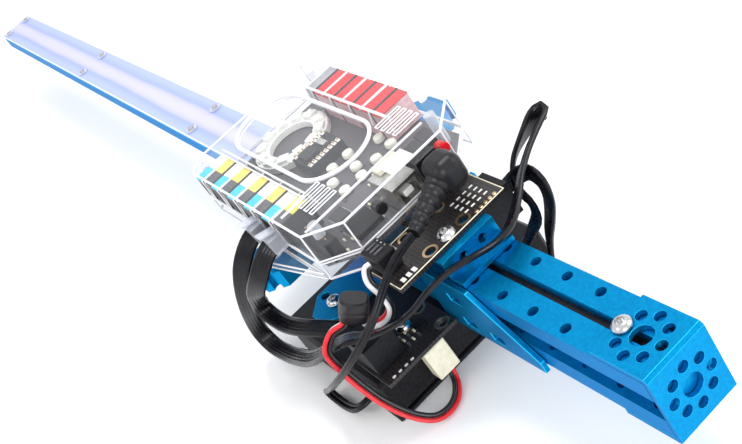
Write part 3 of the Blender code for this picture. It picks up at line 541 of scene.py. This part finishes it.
def rolled_sides(points, rolls):
    """The direction across a flat cable.

    At a roll of 0 its broad face looks to the front, and at 1 its edge does.
    """
    ahead = headings(points)
    sides = [Vector((1, 0, 0))]
    for index in range(1, len(points)):
        share = index / (len(points) - 1)
        for (start, low), (end, high) in zip(rolls, rolls[1:]):
            if start <= share <= end:
                roll = (low + (high - low) * (share - start) / (end - start)) * math.pi / 2
        face = ahead[index].cross(CABLE_FACING)
        edge = square_to(CABLE_FACING, ahead[index])
        wanted = math.cos(roll) * face.normalized() + math.sin(roll) * edge
        if wanted.dot(sides[-1]) < 0:
            wanted = -wanted
        side = sides[-1].lerp(wanted, 0.2)
        sides.append(square_to(side, ahead[index]))
    return sides, ahead


def flat_cable(name, route, rolls, finish):
    """A flat six-wire cable, drawn in place of the part of that name, which is hidden."""
    points = smooth_route(route, 220)
    section = flat_section(RIBBON_WIDTH / 2, RIBBON_HALF_THICK)
    rings = []
    for point, side, ahead in zip(points, *rolled_sides(points, rolls)):
        up = ahead.cross(side)
        rings.append([point + side * a + up * b for a, b in section])
    shape = bmesh.new()
    loft(shape, rings)
    cable = piece(name + "_soft", shape, [finish])
    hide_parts(name)


def strands(name, route, first_side, offsets, radius, finishes, pieces):
    """Several thin wires that run side by side, made as one piece in place of the part of that name, which
    is hidden.
    """
    points = smooth_route(route, 120)
    shape = bmesh.new()
    sides, ahead = carried_sides(points, first_side)
    for index, (across, above) in enumerate(offsets):
        line = [point + side * across + heading.cross(side) * above
                for point, side, heading in zip(points, sides, ahead)]
        tube(shape, line, radius, 12, index)
    cable = piece(name + "_soft", shape, finishes)
    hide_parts(name)


def make_wire_triplets():
    along = (SLEEVE_TOP - SLEEVE_LOW).normalized()
    across = square_to(SLEEVE_ACROSS, along)
    entry = SLEEVE_LOW + 4 * along
    colours = ["wire_red", "wire_white", "wire_black"]
    offsets = [(-0.95, -0.5), (0.0, 0.95), (0.95, -0.5)]
    splice = [*SPLICE_LEAD_ROUTE, SLEEVE_LOW + LEAD_OFFSET * across, entry + LEAD_OFFSET * across]
    strands("splice_lead", splice, (1, 0, 0), offsets, WIRE_RADIUS, colours,
            [make_sleeve()])
    loop = [entry - LEAD_OFFSET * across, SLEEVE_LOW - LEAD_OFFSET * across, *PLUG_LEAD_ROUTE]
    offsets = [(across_wires, -above) for across_wires, above in offsets]
    strands("plug_lead", loop, across, offsets, WIRE_RADIUS, colours,
            [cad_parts["sensor_plug"]])


def make_cables():
    plugs = {number: make_clear_plug(number) for number in (4, 5)}
    flat_cable("long_ribbon_cable", LONG_RIBBON_ROUTE, LONG_RIBBON_ROLLS,
               "jacket")
    flat_cable("short_ribbon_cable", SHORT_RIBBON_ROUTE, SHORT_RIBBON_ROLLS,
               "jacket")
    strands("battery_lead", BATTERY_LEAD_ROUTE, (0.3, 0, 1), [(-0.98, 0), (0.98, 0)], TWIN_RADIUS,
            ["jacket", "jacket"],
            make_plug_head())
    make_wire_triplets()


def make_clear_plug(number):
    """The clear plug in a port's mouth, with its latch and gold contacts."""
    low, high = span(f"sensor_port_{number}")
    x = (low.x + high.x) / 2
    front = low.y
    shape = bmesh.new()
    block(shape, (x - 4.7, front - 6.0, PORT_MIDDLE - 3.3), (x + 4.7, front + 9.0, PORT_MIDDLE + 3.3))
    tilt = Matrix.Rotation(math.radians(-14), 4, "X")
    block(shape, (x - 2.4, front - 7.5, PORT_MIDDLE + 4.4), (x + 2.4, front + 0.5, PORT_MIDDLE + 5.2),
          turn=tilt)
    for step in range(CONTACTS):
        wire = x - 3.1 + step * 1.24
        block(shape, (wire - 0.25, front + 5.0, PORT_MIDDLE - 3.5),
              (wire + 0.25, front + 8.4, PORT_MIDDLE - 2), 1)
    return piece(f"ribbon_plug_{number}", shape, ["crystal", "gold"],
                 bevel=0.25)


# ---------------------------------------------------------------- controller case

INNER_WALL = 21.0
PORT_PITCH = 15.7
NEAR_CORNER = 7.0
FAR_CORNER = 13.0
OUTLINE_HALF = 16.6
OUTLINE_FAR = 179.5
VENT_PITCH = 4.2
POST_ACROSS = 30.0


def case_rim(inset, height):
    """The case's eight corners at one height."""
    low, high = span("case_cover")
    low_x, high_x = low.x + inset, high.x - inset
    half = high.y - inset
    tip, far = NEAR_CORNER - 0.6 * inset, FAR_CORNER - 0.6 * inset
    return [Vector((x, y, height)) for x, y in (
        (low_x + tip, -half), (high_x - far, -half), (high_x, -half + far), (high_x, half - far),
        (high_x - far, half), (low_x + tip, half), (low_x, half - tip), (low_x, -half + tip))]


def make_case_edge_highlights():
    """Bright beads along the clear case's edges: painted highlights."""
    split, top = (corner.z for corner in span("case_cover"))
    bottom = span("case_base")[0].z
    shape = bmesh.new()
    # Pale beads on the case's edges: painted highlights.
    roof = case_rim(0.6, top - 0.3)
    bars(shape, roof, 0.5, closed=True)
    for height in (split + 0.4, split - 0.8):
        bars(shape, case_rim(0.4, height), 0.35, closed=True)
    bars(shape, case_rim(0.4, bottom + 0.4), 0.5, closed=True)
    for upper, lower in zip(roof, case_rim(0.4, bottom + 0.4)):
        bars(shape, [upper, lower], 0.35)
    piece("case_edge_highlights", shape, ["edge"])


def make_case_ribs():
    """Ribs moulded in the case's roof: the port rows' inner walls, the cross rib and the short ribs, in the
    pale edge finish, a painted highlight on the clear ribs.
    """
    top = span("case_cover")[1]
    first, last = span("motor_port_1")[0].x, span("sensor_port_5")[1].x
    shape = bmesh.new()
    for side in (-1, 1):
        wall = side * INNER_WALL
        for shift, drop in ((0.0, 0.2), (1.3 * side, 1.6)):
            y, z = wall + shift, top.z - drop
            bars(shape, [(first - 4, y, z), (last + 1, y, z)], 0.42)
        for step in range(5):
            x = first + 9.0 + step * PORT_PITCH
            bars(shape, [(x, wall, top.z - 0.4), (x, wall - 1.4 * side, top.z - 6.5)], 0.32)
            if step < 4 or side < 0:
                seam = x - 6.8
                bars(shape, [(seam, wall, top.z - 1.4), (seam, side * 36.2, top.z - 1.6),
                             (seam, side * 37.0, top.z - 12.0)], 0.28)
    for x in (last + 21.0, last + 2.0):
        bars(shape, [(x, -34.0, top.z - 0.2), (x, 24.0 if x > last + 9 else -22.0, top.z - 0.2)], 0.5)
    piece("case_ribs", shape, ["edge"])


def make_case_outline():
    """The raised outline in the case's roof that goes round the ring light and the radio module, in the pale
    edge finish: a painted highlight on the clear outline.
    """
    top = span("case_cover")[1].z
    near = middle_of("indicator_ring").x + 1.0
    points = []
    for centre, start in ((near, math.pi / 2), (OUTLINE_FAR, -math.pi / 2)):
        for step in range(25):
            angle = start + math.pi * step / 24
            points.append(Vector((centre + OUTLINE_HALF * math.cos(angle),
                                  OUTLINE_HALF * math.sin(angle) - 0.5, top + 0.1)))
    points.append(points[0])
    shape = bmesh.new()
    tube(shape, points, 0.85, 10)
    tube(shape, [Vector((point.x + (152 - point.x) * 0.03, point.y, top - 1.2)) for point in points], 0.4, 8)
    piece("case_outline", shape, ["edge"])


def make_vent_frames():
    """The raised frames round the two groups of slots in the roof, in the pale edge finish: a painted
    highlight on the clear frames.
    """
    top = span("case_cover")[1].z
    first = span("sensor_port_5")[1].x + 1.0
    shape = bmesh.new()
    for side in (-1, 1):
        near, far = sorted((side * 15.0, side * 27.0))
        for step in range(4):
            x = first + step * VENT_PITCH
            bars(shape, [(x, near, top + 0.1), (x + 2.0, near, top + 0.1), (x + 2.0, far, top + 0.1),
                         (x, far, top + 0.1)], 0.3, closed=True)
    piece("vent_frames", shape, ["edge"])


def make_posts():
    """Clear posts and their screws at the case's four corners."""
    low, high = span("case_base")
    top = span("case_cover")[1].z
    profile = [(2.6, 2.0), (2.6, 4.0), (2.2, 6.0), (2.2, top - low.z - 2.0)]
    shape = bmesh.new()
    for x, half in ((low.x + 6.0, POST_ACROSS), (high.x - 17.0, POST_ACROSS - 0.5)):
        for y in (-half, half):
            lathe(shape, (x, y, low.z), profile, sides=16)
    piece("case_posts", shape, ["crystal"])


def make_front_foot():
    """The clear wedge below the case's front, with its raised post, and pale beads round its outline:
    painted highlights on its edges.
    """
    wall = span("case_base")[0]
    tip = 176.0
    corners = [(163.0, wall.y - 0.4), (tip, wall.y - 8.4), (209.0, wall.y - 0.4)]
    heights = (wall.z + 0.6, wall.z + 3.2)
    shape = bmesh.new()
    loft(shape, [[Vector((x, y, z)) for x, y in corners] for z in heights], 0)
    # Pale beads along the wedge's edges: painted highlights.
    for z in heights:
        bars(shape, [Vector((x, y, z)) for x, y in corners], 0.35, True, 1)
    lathe(shape, (tip, wall.y - 4.0, heights[1]),
          [(2.7, 0.0), (2.7, 0.8), (1.9, 1.0), (1.9, 2.6), (1.2, 3.0)], slot=2)
    piece("front_foot", shape, ["clear", "edge", "crystal"])


def make_data_plate():
    """The blank white plate over the data socket, and the socket's pale insert."""
    low, high = span("usb_socket")
    case_high = span("case_cover")[1]
    shape = bmesh.new()
    block(shape, (case_high.x - 9.0, low.y + 3.5, case_high.z + 0.1),
          (case_high.x - 0.6, high.y + 2.6, case_high.z + 0.7))
    block(shape, (case_high.x - 19.0, low.y + 3.5, high.z + 0.3),
          (case_high.x - 12.4, high.y + 2.6, high.z + 1.8), 1)
    block(shape, (high.x - 9.5, low.y + 3.7, low.z + 4.2), (high.x - 1.0, high.y - 3.7, low.z + 6.6))
    piece("data_plate", shape, ["white", "cream"], bevel=0.2)


# ---------------------------------------------------------------- ports

TOP_THICK = 0.7
TOP_FINISHES = ["white", "cyan", "yellow", "dark", "red", "grey", "plastic"]


def port_top(shape, finish, start, end, near, far, height):
    """A thin coloured plate on a port."""
    block(shape, (start, near, height + 0.05), (end, far, height + TOP_THICK), TOP_FINISHES.index(finish))


def port_seam(shape, low, high):
    """The black wall between a port and the next one."""
    block(shape, (high.x + 0.1, low.y, low.z), (high.x + 1.4, high.y, high.z + 0.9),
          TOP_FINISHES.index("plastic"))


def make_port_tops():
    """Coloured tops on the ports: two halves to a port, with a black seam between ports."""
    shape = bmesh.new()
    for number in range(1, 6):
        low, high = span(f"sensor_port_{number}")
        x = (low.x + high.x) / 2
        middle = (low.y + high.y) / 2 - 0.4
        for start, end, inner, outer in ((low.x, x - 0.2, "white", "cyan"),
                                         (x + 0.2, high.x, "yellow", "dark")):
            port_top(shape, inner, start, end, middle + 0.05, high.y, high.z)
            port_top(shape, outer, start, end, low.y, middle - 0.05, high.z)
        if number < 5:
            port_seam(shape, low, high)
    for number in range(1, 6):
        low, high = span(f"motor_port_{number}")
        narrow = high.x - low.x < 10.0
        split = (low.x + high.x) / 2
        halves = [(low.x, high.x)] if narrow else [(low.x, split - 0.2), (split + 0.2, high.x)]
        for start, end in halves:
            port_top(shape, "grey" if number == 1 else "red", start, end, low.y, high.y, high.z)
        if number < 5:
            port_seam(shape, low, high)
    piece("port_tops", shape, TOP_FINISHES, bevel=0.12)


def make_port_dividers():
    """The clear rib over the middle of each full port, in the pale edge finish: a painted highlight on the
    clear rib.
    """
    shape = bmesh.new()
    for kind, numbers, side in (("sensor", range(1, 6), -1), ("motor", range(2, 5), 1)):
        for number in numbers:
            low, high = span(f"{kind}_port_{number}")
            x = (low.x + high.x) / 2
            inner, outer = (high.y, low.y) if side < 0 else (low.y, high.y)
            bars(shape, [(x, inner, high.z + 1.0), (x, outer, high.z + 1.0),
                         (x, outer + 0.3 * side, high.z - 8.0)], 0.38)
    piece("port_dividers", shape, ["edge"])


def make_port_contacts():
    """Six gold contacts in each open port."""
    shape = bmesh.new()
    for number in (1, 2, 3):
        low, high = span(f"sensor_port_{number}")
        add_contacts(shape, (low.x + high.x) / 2, low.y + 5.0, low.z + 1.7)
    for number in (2, 3, 4):
        low, high = span(f"motor_port_{number}")
        add_contacts(shape, (low.x + high.x) / 2, high.y - 9.0, low.z + 1.7)
    piece("port_contacts", shape, ["gold"])


def add_contacts(shape, x, y, z):
    for step in range(CONTACTS):
        start = x - 3.4 + step * PIN_PITCH / 2
        block(shape, (start, y, z), (start + 0.5, y + 4.0, z + 0.5))


# ---------------------------------------------------------------- what stands on the controller board

LAMPS = 12
LAMP_CIRCLE = 14.3
LAMP_HALF = 2.4

# Middles of the white parts round the radio module.
WHITE_PART_PLACES = ((172.3, 19.8), (181.4, 19.5), (182.4, 11.0), (164.6, -0.6), (164.6, 8.0),
                     (173.3, -6.2), (183.6, -6.6), (184.0, 2.0), (176.0, 4.5))

# Chips: low corner, size along and across, and height.
CHIPS = ((203.0, -21.0, 12.0, 12.0, 2.2), (190.0, -19.5, 8.0, 6.0, 1.8), (188.5, 6.0, 7.0, 5.0, 1.8),
         (194.0, 24.0, 9.0, 6.0, 4.0), (112.0, -18.0, 6.0, 6.0, 1.6))


def make_ring_lights():
    """Twelve square lamps on the ring, each with a round lens."""
    low, high = span("indicator_ring")
    centre = (low + high) / 2
    shape = bmesh.new()
    for step in range(LAMPS):
        angle = math.tau * (step + 0.5) / LAMPS
        place = Vector((centre.x + LAMP_CIRCLE * math.cos(angle),
                        centre.y + LAMP_CIRCLE * math.sin(angle), high.z))
        turn = Matrix.Rotation(angle, 4, "Z")
        block(shape, place + Vector((-LAMP_HALF, -LAMP_HALF, 0.05)),
              place + Vector((LAMP_HALF, LAMP_HALF, 1.6)), 0, turn)
        lathe(shape, place, [(1.9, 1.65), (1.7, 1.9), (0.6, 2.05)], sides=16, slot=1)
        small = place + turn @ Vector((3.6, 3.4, 0))
        block(shape, small + Vector((-0.6, -0.35, 0.05)), small + Vector((0.6, 0.35, 0.6)), 2, turn)
    piece("ring_lights", shape, ["white", "lamp", "tin"], bevel=0.15)


def make_radio_details():
    """The radio module's board, shield, crystal and two rows of pins."""
    low, high = span("radio_module")
    shape = bmesh.new()
    for x in (low.x + 0.9, high.x - 0.9):
        for step in range(8):
            y = low.y + 1.6 + step * (high.y - low.y - 3.2) / 7
            block(shape, (x - 0.35, y - 0.35, high.z - 0.4), (x + 0.35, y + 0.35, high.z + 1.3), 0)
            block(shape, (x - 1.4, y - 0.8, high.z + 0.05), (x + 1.4, y + 0.8, high.z + 0.35), 1)
    block(shape, (low.x + 3.2, low.y + 2.0, high.z + 0.05), (high.x - 3.6, low.y + 8.5, high.z + 1.5), 2)
    block(shape, (low.x + 4.0, high.y - 7.0, high.z + 0.05), (high.x - 4.6, high.y - 4.2, high.z + 1.3), 3)
    piece("radio_details", shape, ["gold", "white", "gloss", "tin"], bevel=0.12)


def make_white_parts():
    """White rounded parts round the radio module."""
    base = span("controller_board")[1].z + 0.1
    shape = bmesh.new()
    for x, y in WHITE_PART_PLACES:
        lathe(shape, (x, y, base), [(2.4, 0), (2.5, 0.3), (2.5, 1.6), (2.2, 2.2), (1.3, 2.5)], sides=16)
        block(shape, (x - 2.6, y - 2.6, base - 0.05), (x + 2.6, y + 2.6, base + 0.3), 1)
    piece("white_parts", shape, ["lamp", "dark"])


def make_chips():
    """Chips, small parts and pin headers on the controller board."""
    base = span("controller_board")[1].z + 0.05
    shape = bmesh.new()
    for low_x, low_y, size_x, size_y, tall in CHIPS:
        block(shape, (low_x, low_y, base), (low_x + size_x, low_y + size_y, base + tall), 0)
        for step in range(int(size_x)):
            for y in (low_y - 0.9, low_y + size_y):
                block(shape, (low_x + 0.3 + step, y, base), (low_x + 0.75 + step, y + 0.9, base + 0.7), 1)
    for step in range(34):
        x = 186.0 + (step * 7.3) % 30
        y = -31.0 + (step * 11.9) % 62
        if y > -3.5 and x > 203:
            continue
        block(shape, (x, y, base), (x + 1.6, y + 0.8, base + 0.7), 2 if step % 3 else 3)
    block(shape, (194.0, -32.5, base), (214.0, -27.0, base + 8.0), 0)
    for step in range(7):
        shift = PIN_PITCH * step
        block(shape, (195.2 + shift, -30.2, base + 8.0), (195.9 + shift, -29.5, base + 8.6), 4)
    piece("board_parts", shape, ["gloss", "tin", "cream", "dark", "gold"], bevel=0.1)


# ---------------------------------------------------------------- adapter and sensor boards

HOLE_RADIUS = 2.15
HOLE_SPACING = 8.0


def make_adapter_details():
    """Plated rings, solder joints, marks, pads and the pale rim of the adapter board."""
    low, high = span("adapter_board")
    middle = (low + high) / 2
    top = high.z + 0.05
    shape = bmesh.new()
    for along, across in ((-1, 1), (-1, 0), (-1, -1), (1, 1), (1, -1)):
        place = (middle.x + along * HOLE_SPACING, middle.y + across * HOLE_SPACING)
        ring_plate(shape, place, HOLE_RADIUS, 3.1, top, top + 0.12, 0)
    for row in range(4):
        for step in range(4):
            x, y = low.x + 9.0 + step * 3.0, high.y - 15.0 + row * 3.1
            block(shape, (x, y, top), (x + 0.6, y + 1.7, top + 0.25), 1)
    for step in range(5):
        lathe(shape, (high.x - 1.9, high.y - 12.5 + 2.2 * step, top), [(0.85, 0), (0.7, 0.25)], sides=12)
    bars(shape, [(low.x + 0.4, low.y + 0.4, high.z), (high.x - 0.4, low.y + 0.4, high.z),
                 (high.x - 0.4, high.y - 0.4, high.z), (low.x + 0.4, high.y - 0.4, high.z)], 0.22, True, 2)
    for step in range(3):
        y = low.y + 3.0 + 2.6 * step
        block(shape, (high.x - 4.2, y, top), (high.x - 1.8, y + 1.6, top + 0.2), 1)
    for step in range(6):
        x = low.x + 2.0 + step * 1.1
        block(shape, (x, -17.0, top), (x + 0.7, -15.4, top + 0.6), 3)
    piece("adapter_details", shape, ["gold", "white", "cream", "tin"], smooth=False)


def make_header_pins():
    """Slots and pins in the adapter board's black header."""
    low, high = span("adapter_header")
    shape = bmesh.new()
    for step in range(3):
        x = low.x + 2.2 + step * PIN_PITCH
        block(shape, (x, low.y + 1.6, high.z + 0.02), (x + 1.2, high.y - 2.2, high.z + 0.35), 0)
        block(shape, (x + 0.35, high.y - 1.4, high.z + 0.02), (x + 0.9, high.y - 0.8, high.z + 0.4), 1)
    piece("header_details", shape, ["dark", "tin"], bevel=0.1)


def make_sensor_details():
    """Small parts, pads and the chip on the sensor board."""
    high = span("sensor_board")[1]
    top = high.z + 0.05
    shape = bmesh.new()
    for x, y in ((218.5, -28.0), (216.3, -19.0), (232.3, -19.0)):
        ring_plate(shape, (x, y), HOLE_RADIUS, 3.2, top, top + 0.12, 0)
    block(shape, (222.5, -26.0, top), (226.5, -22.0, top + 0.9), 1)
    for step in range(9):
        x, y = 220.5 + (step % 3) * 3.1, -32.8 + (step // 3) * 2.6
        block(shape, (x, y, top), (x + 1.5, y + 0.8, top + 0.6), 2 if step % 2 else 3)
    for step in range(4):
        y = -46.0 + 3 * step
        block(shape, (high.x - 1.8, y, top), (high.x - 0.9, y + 1.4, top + 0.2), 4)
    piece("sensor_details", shape, ["gold", "gloss", "cream", "tin", "white"], smooth=False)


# ---------------------------------------------------------------- screws, plugs and trim

def button_screw(node):
    """A button head with a round recess, in place of the plain head."""
    low, high = span(node)
    centre = (low + high) / 2
    radius = (high.x - low.x) / 2
    tall = high.z - low.z
    profile = [(radius * wide, tall * up) for wide, up in (
        (0.96, 0), (1, 0.12), (0.97, 0.35), (0.86, 0.65), (0.68, 0.88), (0.52, 1), (0.46, 1), (0.437, 0.3))]
    shape = bmesh.new()
    lathe(shape, (centre.x, centre.y, low.z), profile, sides=36)
    screw = piece(node + "_head", shape, ["chrome"])
    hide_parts(node)


def make_cover_edge_highlights():
    """Bright beads along the edges of the blade's clear cover: painted highlights."""
    low, high = span("blade_cover")
    shape = bmesh.new()
    height = high.z - 0.25
    bars(shape, [(high.x - 0.4, low.y + 0.1, height), (low.x + 0.4, low.y + 0.1, height),
                 (low.x + 0.4, high.y - 0.1, height), (high.x - 0.4, high.y - 0.1, height)], 0.4)
    piece("cover_edge_highlights", shape, ["edge"])


def make_adapter_screw():
    """The chrome screw on top of the adapter board."""
    low, high = span("adapter_board")
    middle = (low + high) / 2
    shape = bmesh.new()
    lathe(shape, (middle.x + HOLE_SPACING, middle.y, high.z + 0.1),
          [(3.5, 0), (3.65, 0.4), (3.4, 1.1), (2.7, 1.9), (1.9, 2.3), (1.6, 2.3), (1.5, 0.9)], sides=32)
    piece("adapter_screw", shape, ["chrome"])


def make_rivets():
    """The clear push rivets along the blade's cover."""
    for number in (1, 2, 3):
        for side in ("front", "back"):
            node = f"cover_screw_{number}_{side}"
            low, high = span(node)
            centre = (low + high) / 2
            foot = (centre.x, centre.y, low.z)
            shape = bmesh.new()
            lathe(shape, foot, [(3.2, 0), (3.2, 0.5), (2.9, 0.8), (2.0, 0.9)], sides=20)
            lathe(shape, foot, [(1.5, 0.9), (1.5, 1.3), (1.2, 1.6)], sides=16, slot=1)
            for turn in (0.0, 90.0):
                spin = Matrix.Rotation(math.radians(turn + 20), 4, "Z")
                block(shape, (centre.x - 2.4, centre.y - 0.22, low.z + 0.9),
                      (centre.x + 2.4, centre.y + 0.22, low.z + 1.2), 1, spin)
            rivet = piece(node + "_rivet", shape, ["crystal", "grey"])
            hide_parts(node)


def make_plug_head():
    """The battery plug: a rounded head, its barrel in the socket, and a ribbed relief to the cable."""
    wall = span("case_cover")[1].x
    socket = middle_of("power_jack")
    shape = bmesh.new()
    block(shape, (wall + 1.2, socket.y - 6.2, 62.4), (wall + 15.2, socket.y + 6.2, 76.6))
    head = piece("battery_plug_head", shape, ["gloss"], bevel=4.6, segments=6)
    shape = bmesh.new()
    lathe(shape, (0, socket.y, 69.4), [(2.7, wall - 8.9), (2.7, wall + 3.0)], axis=(1, 0, 0))
    start, end = Vector((232.3, 10.6, 69.0)), Vector((240.3, -11.0, 66.1))
    along = (end - start).normalized()
    side = along.cross(Vector((0, 0, 1))).normalized()
    above = side.cross(along)
    steps = 44
    rings = []
    for step in range(steps + 1):
        share = step / steps
        grooves = 0.55 * max(0.0, math.sin(math.tau * 6.5 * share)) if share > 0.2 else 0.0
        radius = 5.1 - 2.6 * share - grooves
        rings.append([start.lerp(end, share) + radius * (side * c + above * s) for c, s in circle(24)])
    loft(shape, rings)
    relief = piece("battery_plug_relief", shape, ["gloss"])
    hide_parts("battery_plug")
    return [head, relief]


def squared(value):
    """Widen a circle's cosine or sine towards a square's."""
    return math.copysign(abs(value) ** 0.6, value)


def make_sleeve():
    """The shrunk sleeve over the joint of the two three-wire leads."""
    along = (SLEEVE_TOP - SLEEVE_LOW).normalized()
    across = square_to(SLEEVE_ACROSS, along)
    above = along.cross(across)
    width, thickness = SLEEVE_SIZE
    rings = []
    steps = 24
    for step in range(steps + 1):
        share = step / steps
        swell = 0.9 + 0.1 * math.sin(math.pi * share) - (0.05 if abs(share - 0.52) < 0.05 else 0.0)
        swell -= 0.12 * max(0.0, abs(2 * share - 1) - 0.9) * 10
        middle = SLEEVE_LOW.lerp(SLEEVE_TOP, share)
        rings.append([middle + swell * (across * squared(c) * width / 2 + above * squared(s) * thickness / 2)
                      for c, s in circle(32)])
    shape = bmesh.new()
    loft(shape, rings)
    sleeve = piece("wire_sleeve_shrunk", shape, ["gloss"])
    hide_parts("wire_sleeve")
    return sleeve


def make_slot_painted_shade():
    """A dark sheet at the bottom of the top beam's slot: painted shade in the recess."""
    low, high = span("handle_top_beam")
    shape = bmesh.new()
    # A thin black sheet where the slot is only in shade: painted shade.
    block(shape, (low.x + 1.0, -1.7, high.z - 3.3), (high.x - 1.0, 1.7, high.z - 3.1))
    piece("slot_painted_shade", shape, ["plastic"])


def make_slot_threads():
    """Thread ridges along both walls of the top beam's slot."""
    high = span("handle_top_beam")[1]
    first, pitch = 250.0, 0.9
    shape = bmesh.new()
    for side in (-1, 1):
        near, far = sorted((side * 1.55, side * 1.88))
        for step in range(int((high.x - 26.0 - first) / pitch)):
            x = first + step * pitch
            block(shape, (x, near, high.z - 3.0), (x + 0.4, far, high.z - 0.4))
    piece("slot_threads", shape, ["blue"], smooth=False)


def dress_parts():
    """Finishes and rounded edges for the parts that keep their own shape."""
    # The rounded edges of the blue parts get the brighter blue: a painted highlight.
    for node in ("blade_beam", "handle_bottom_beam", "handle_core_beam", "handle_top_beam", "crossguard"):
        dress(node, "blue", 0.45, "blue_painted_highlight")
    for node in ("pommel_bracket", "battery_strap", "adapter_mount", "gusset_bracket"):
        dress(node, "blue", 0.35, "blue_painted_highlight")
    dress("blade_cover", "frosted", 0.3)
    dress("light_strip", "strip")
    for node in ("case_base", "case_cover"):
        dress(node, "clear")
    dress("controller_board", "board")
    dress("adapter_board", "circuit")
    dress("sensor_board", "circuit")
    for number in range(1, 6):
        dress(f"sensor_port_{number}", "plastic", 0.2)
        # The motor ports after the first are pale pink: red plastic with a painted reflection.
        dress(f"motor_port_{number}", "grey" if number == 1 else "pale_red_painted_reflection", 0.2)
    for node in ("radio_module", "power_jack", "adapter_socket", "sensor_socket", "adapter_header"):
        dress(node, "plastic", 0.25)
    dress("reset_button", "gloss", 0.3)
    dress("battery_plug", "gloss")
    dress("wire_sleeve", "gloss")
    dress("battery_box", "plastic", 0.5)
    dress("battery_lid", "plastic", 0.3)
    dress("indicator_ring", "white", 0.2)
    dress("usb_socket", "tin", 0.25)
    dress("power_button", "red", 0.3)
    dress("sensor_plug", "cream", 0.25)
    for number in range(1, 7):
        dress(f"battery_cell_{number}", "cell", 0.4)


def main():
    make_camera()
    make_cables()
    make_floor()
    make_lights()
    dress_parts()
    make_case_edge_highlights()
    make_case_ribs()
    make_case_outline()
    make_vent_frames()
    make_posts()
    make_front_foot()
    make_data_plate()
    make_port_tops()
    make_port_dividers()
    make_port_contacts()
    make_ring_lights()
    make_radio_details()
    make_white_parts()
    make_chips()
    make_adapter_details()
    make_header_pins()
    make_sensor_details()
    for node in ("pommel_screw", "strap_screw", "sensor_screw"):
        button_screw(node)
    make_cover_edge_highlights()
    make_adapter_screw()
    make_rivets()
    make_slot_painted_shade()
    make_slot_threads()


main()
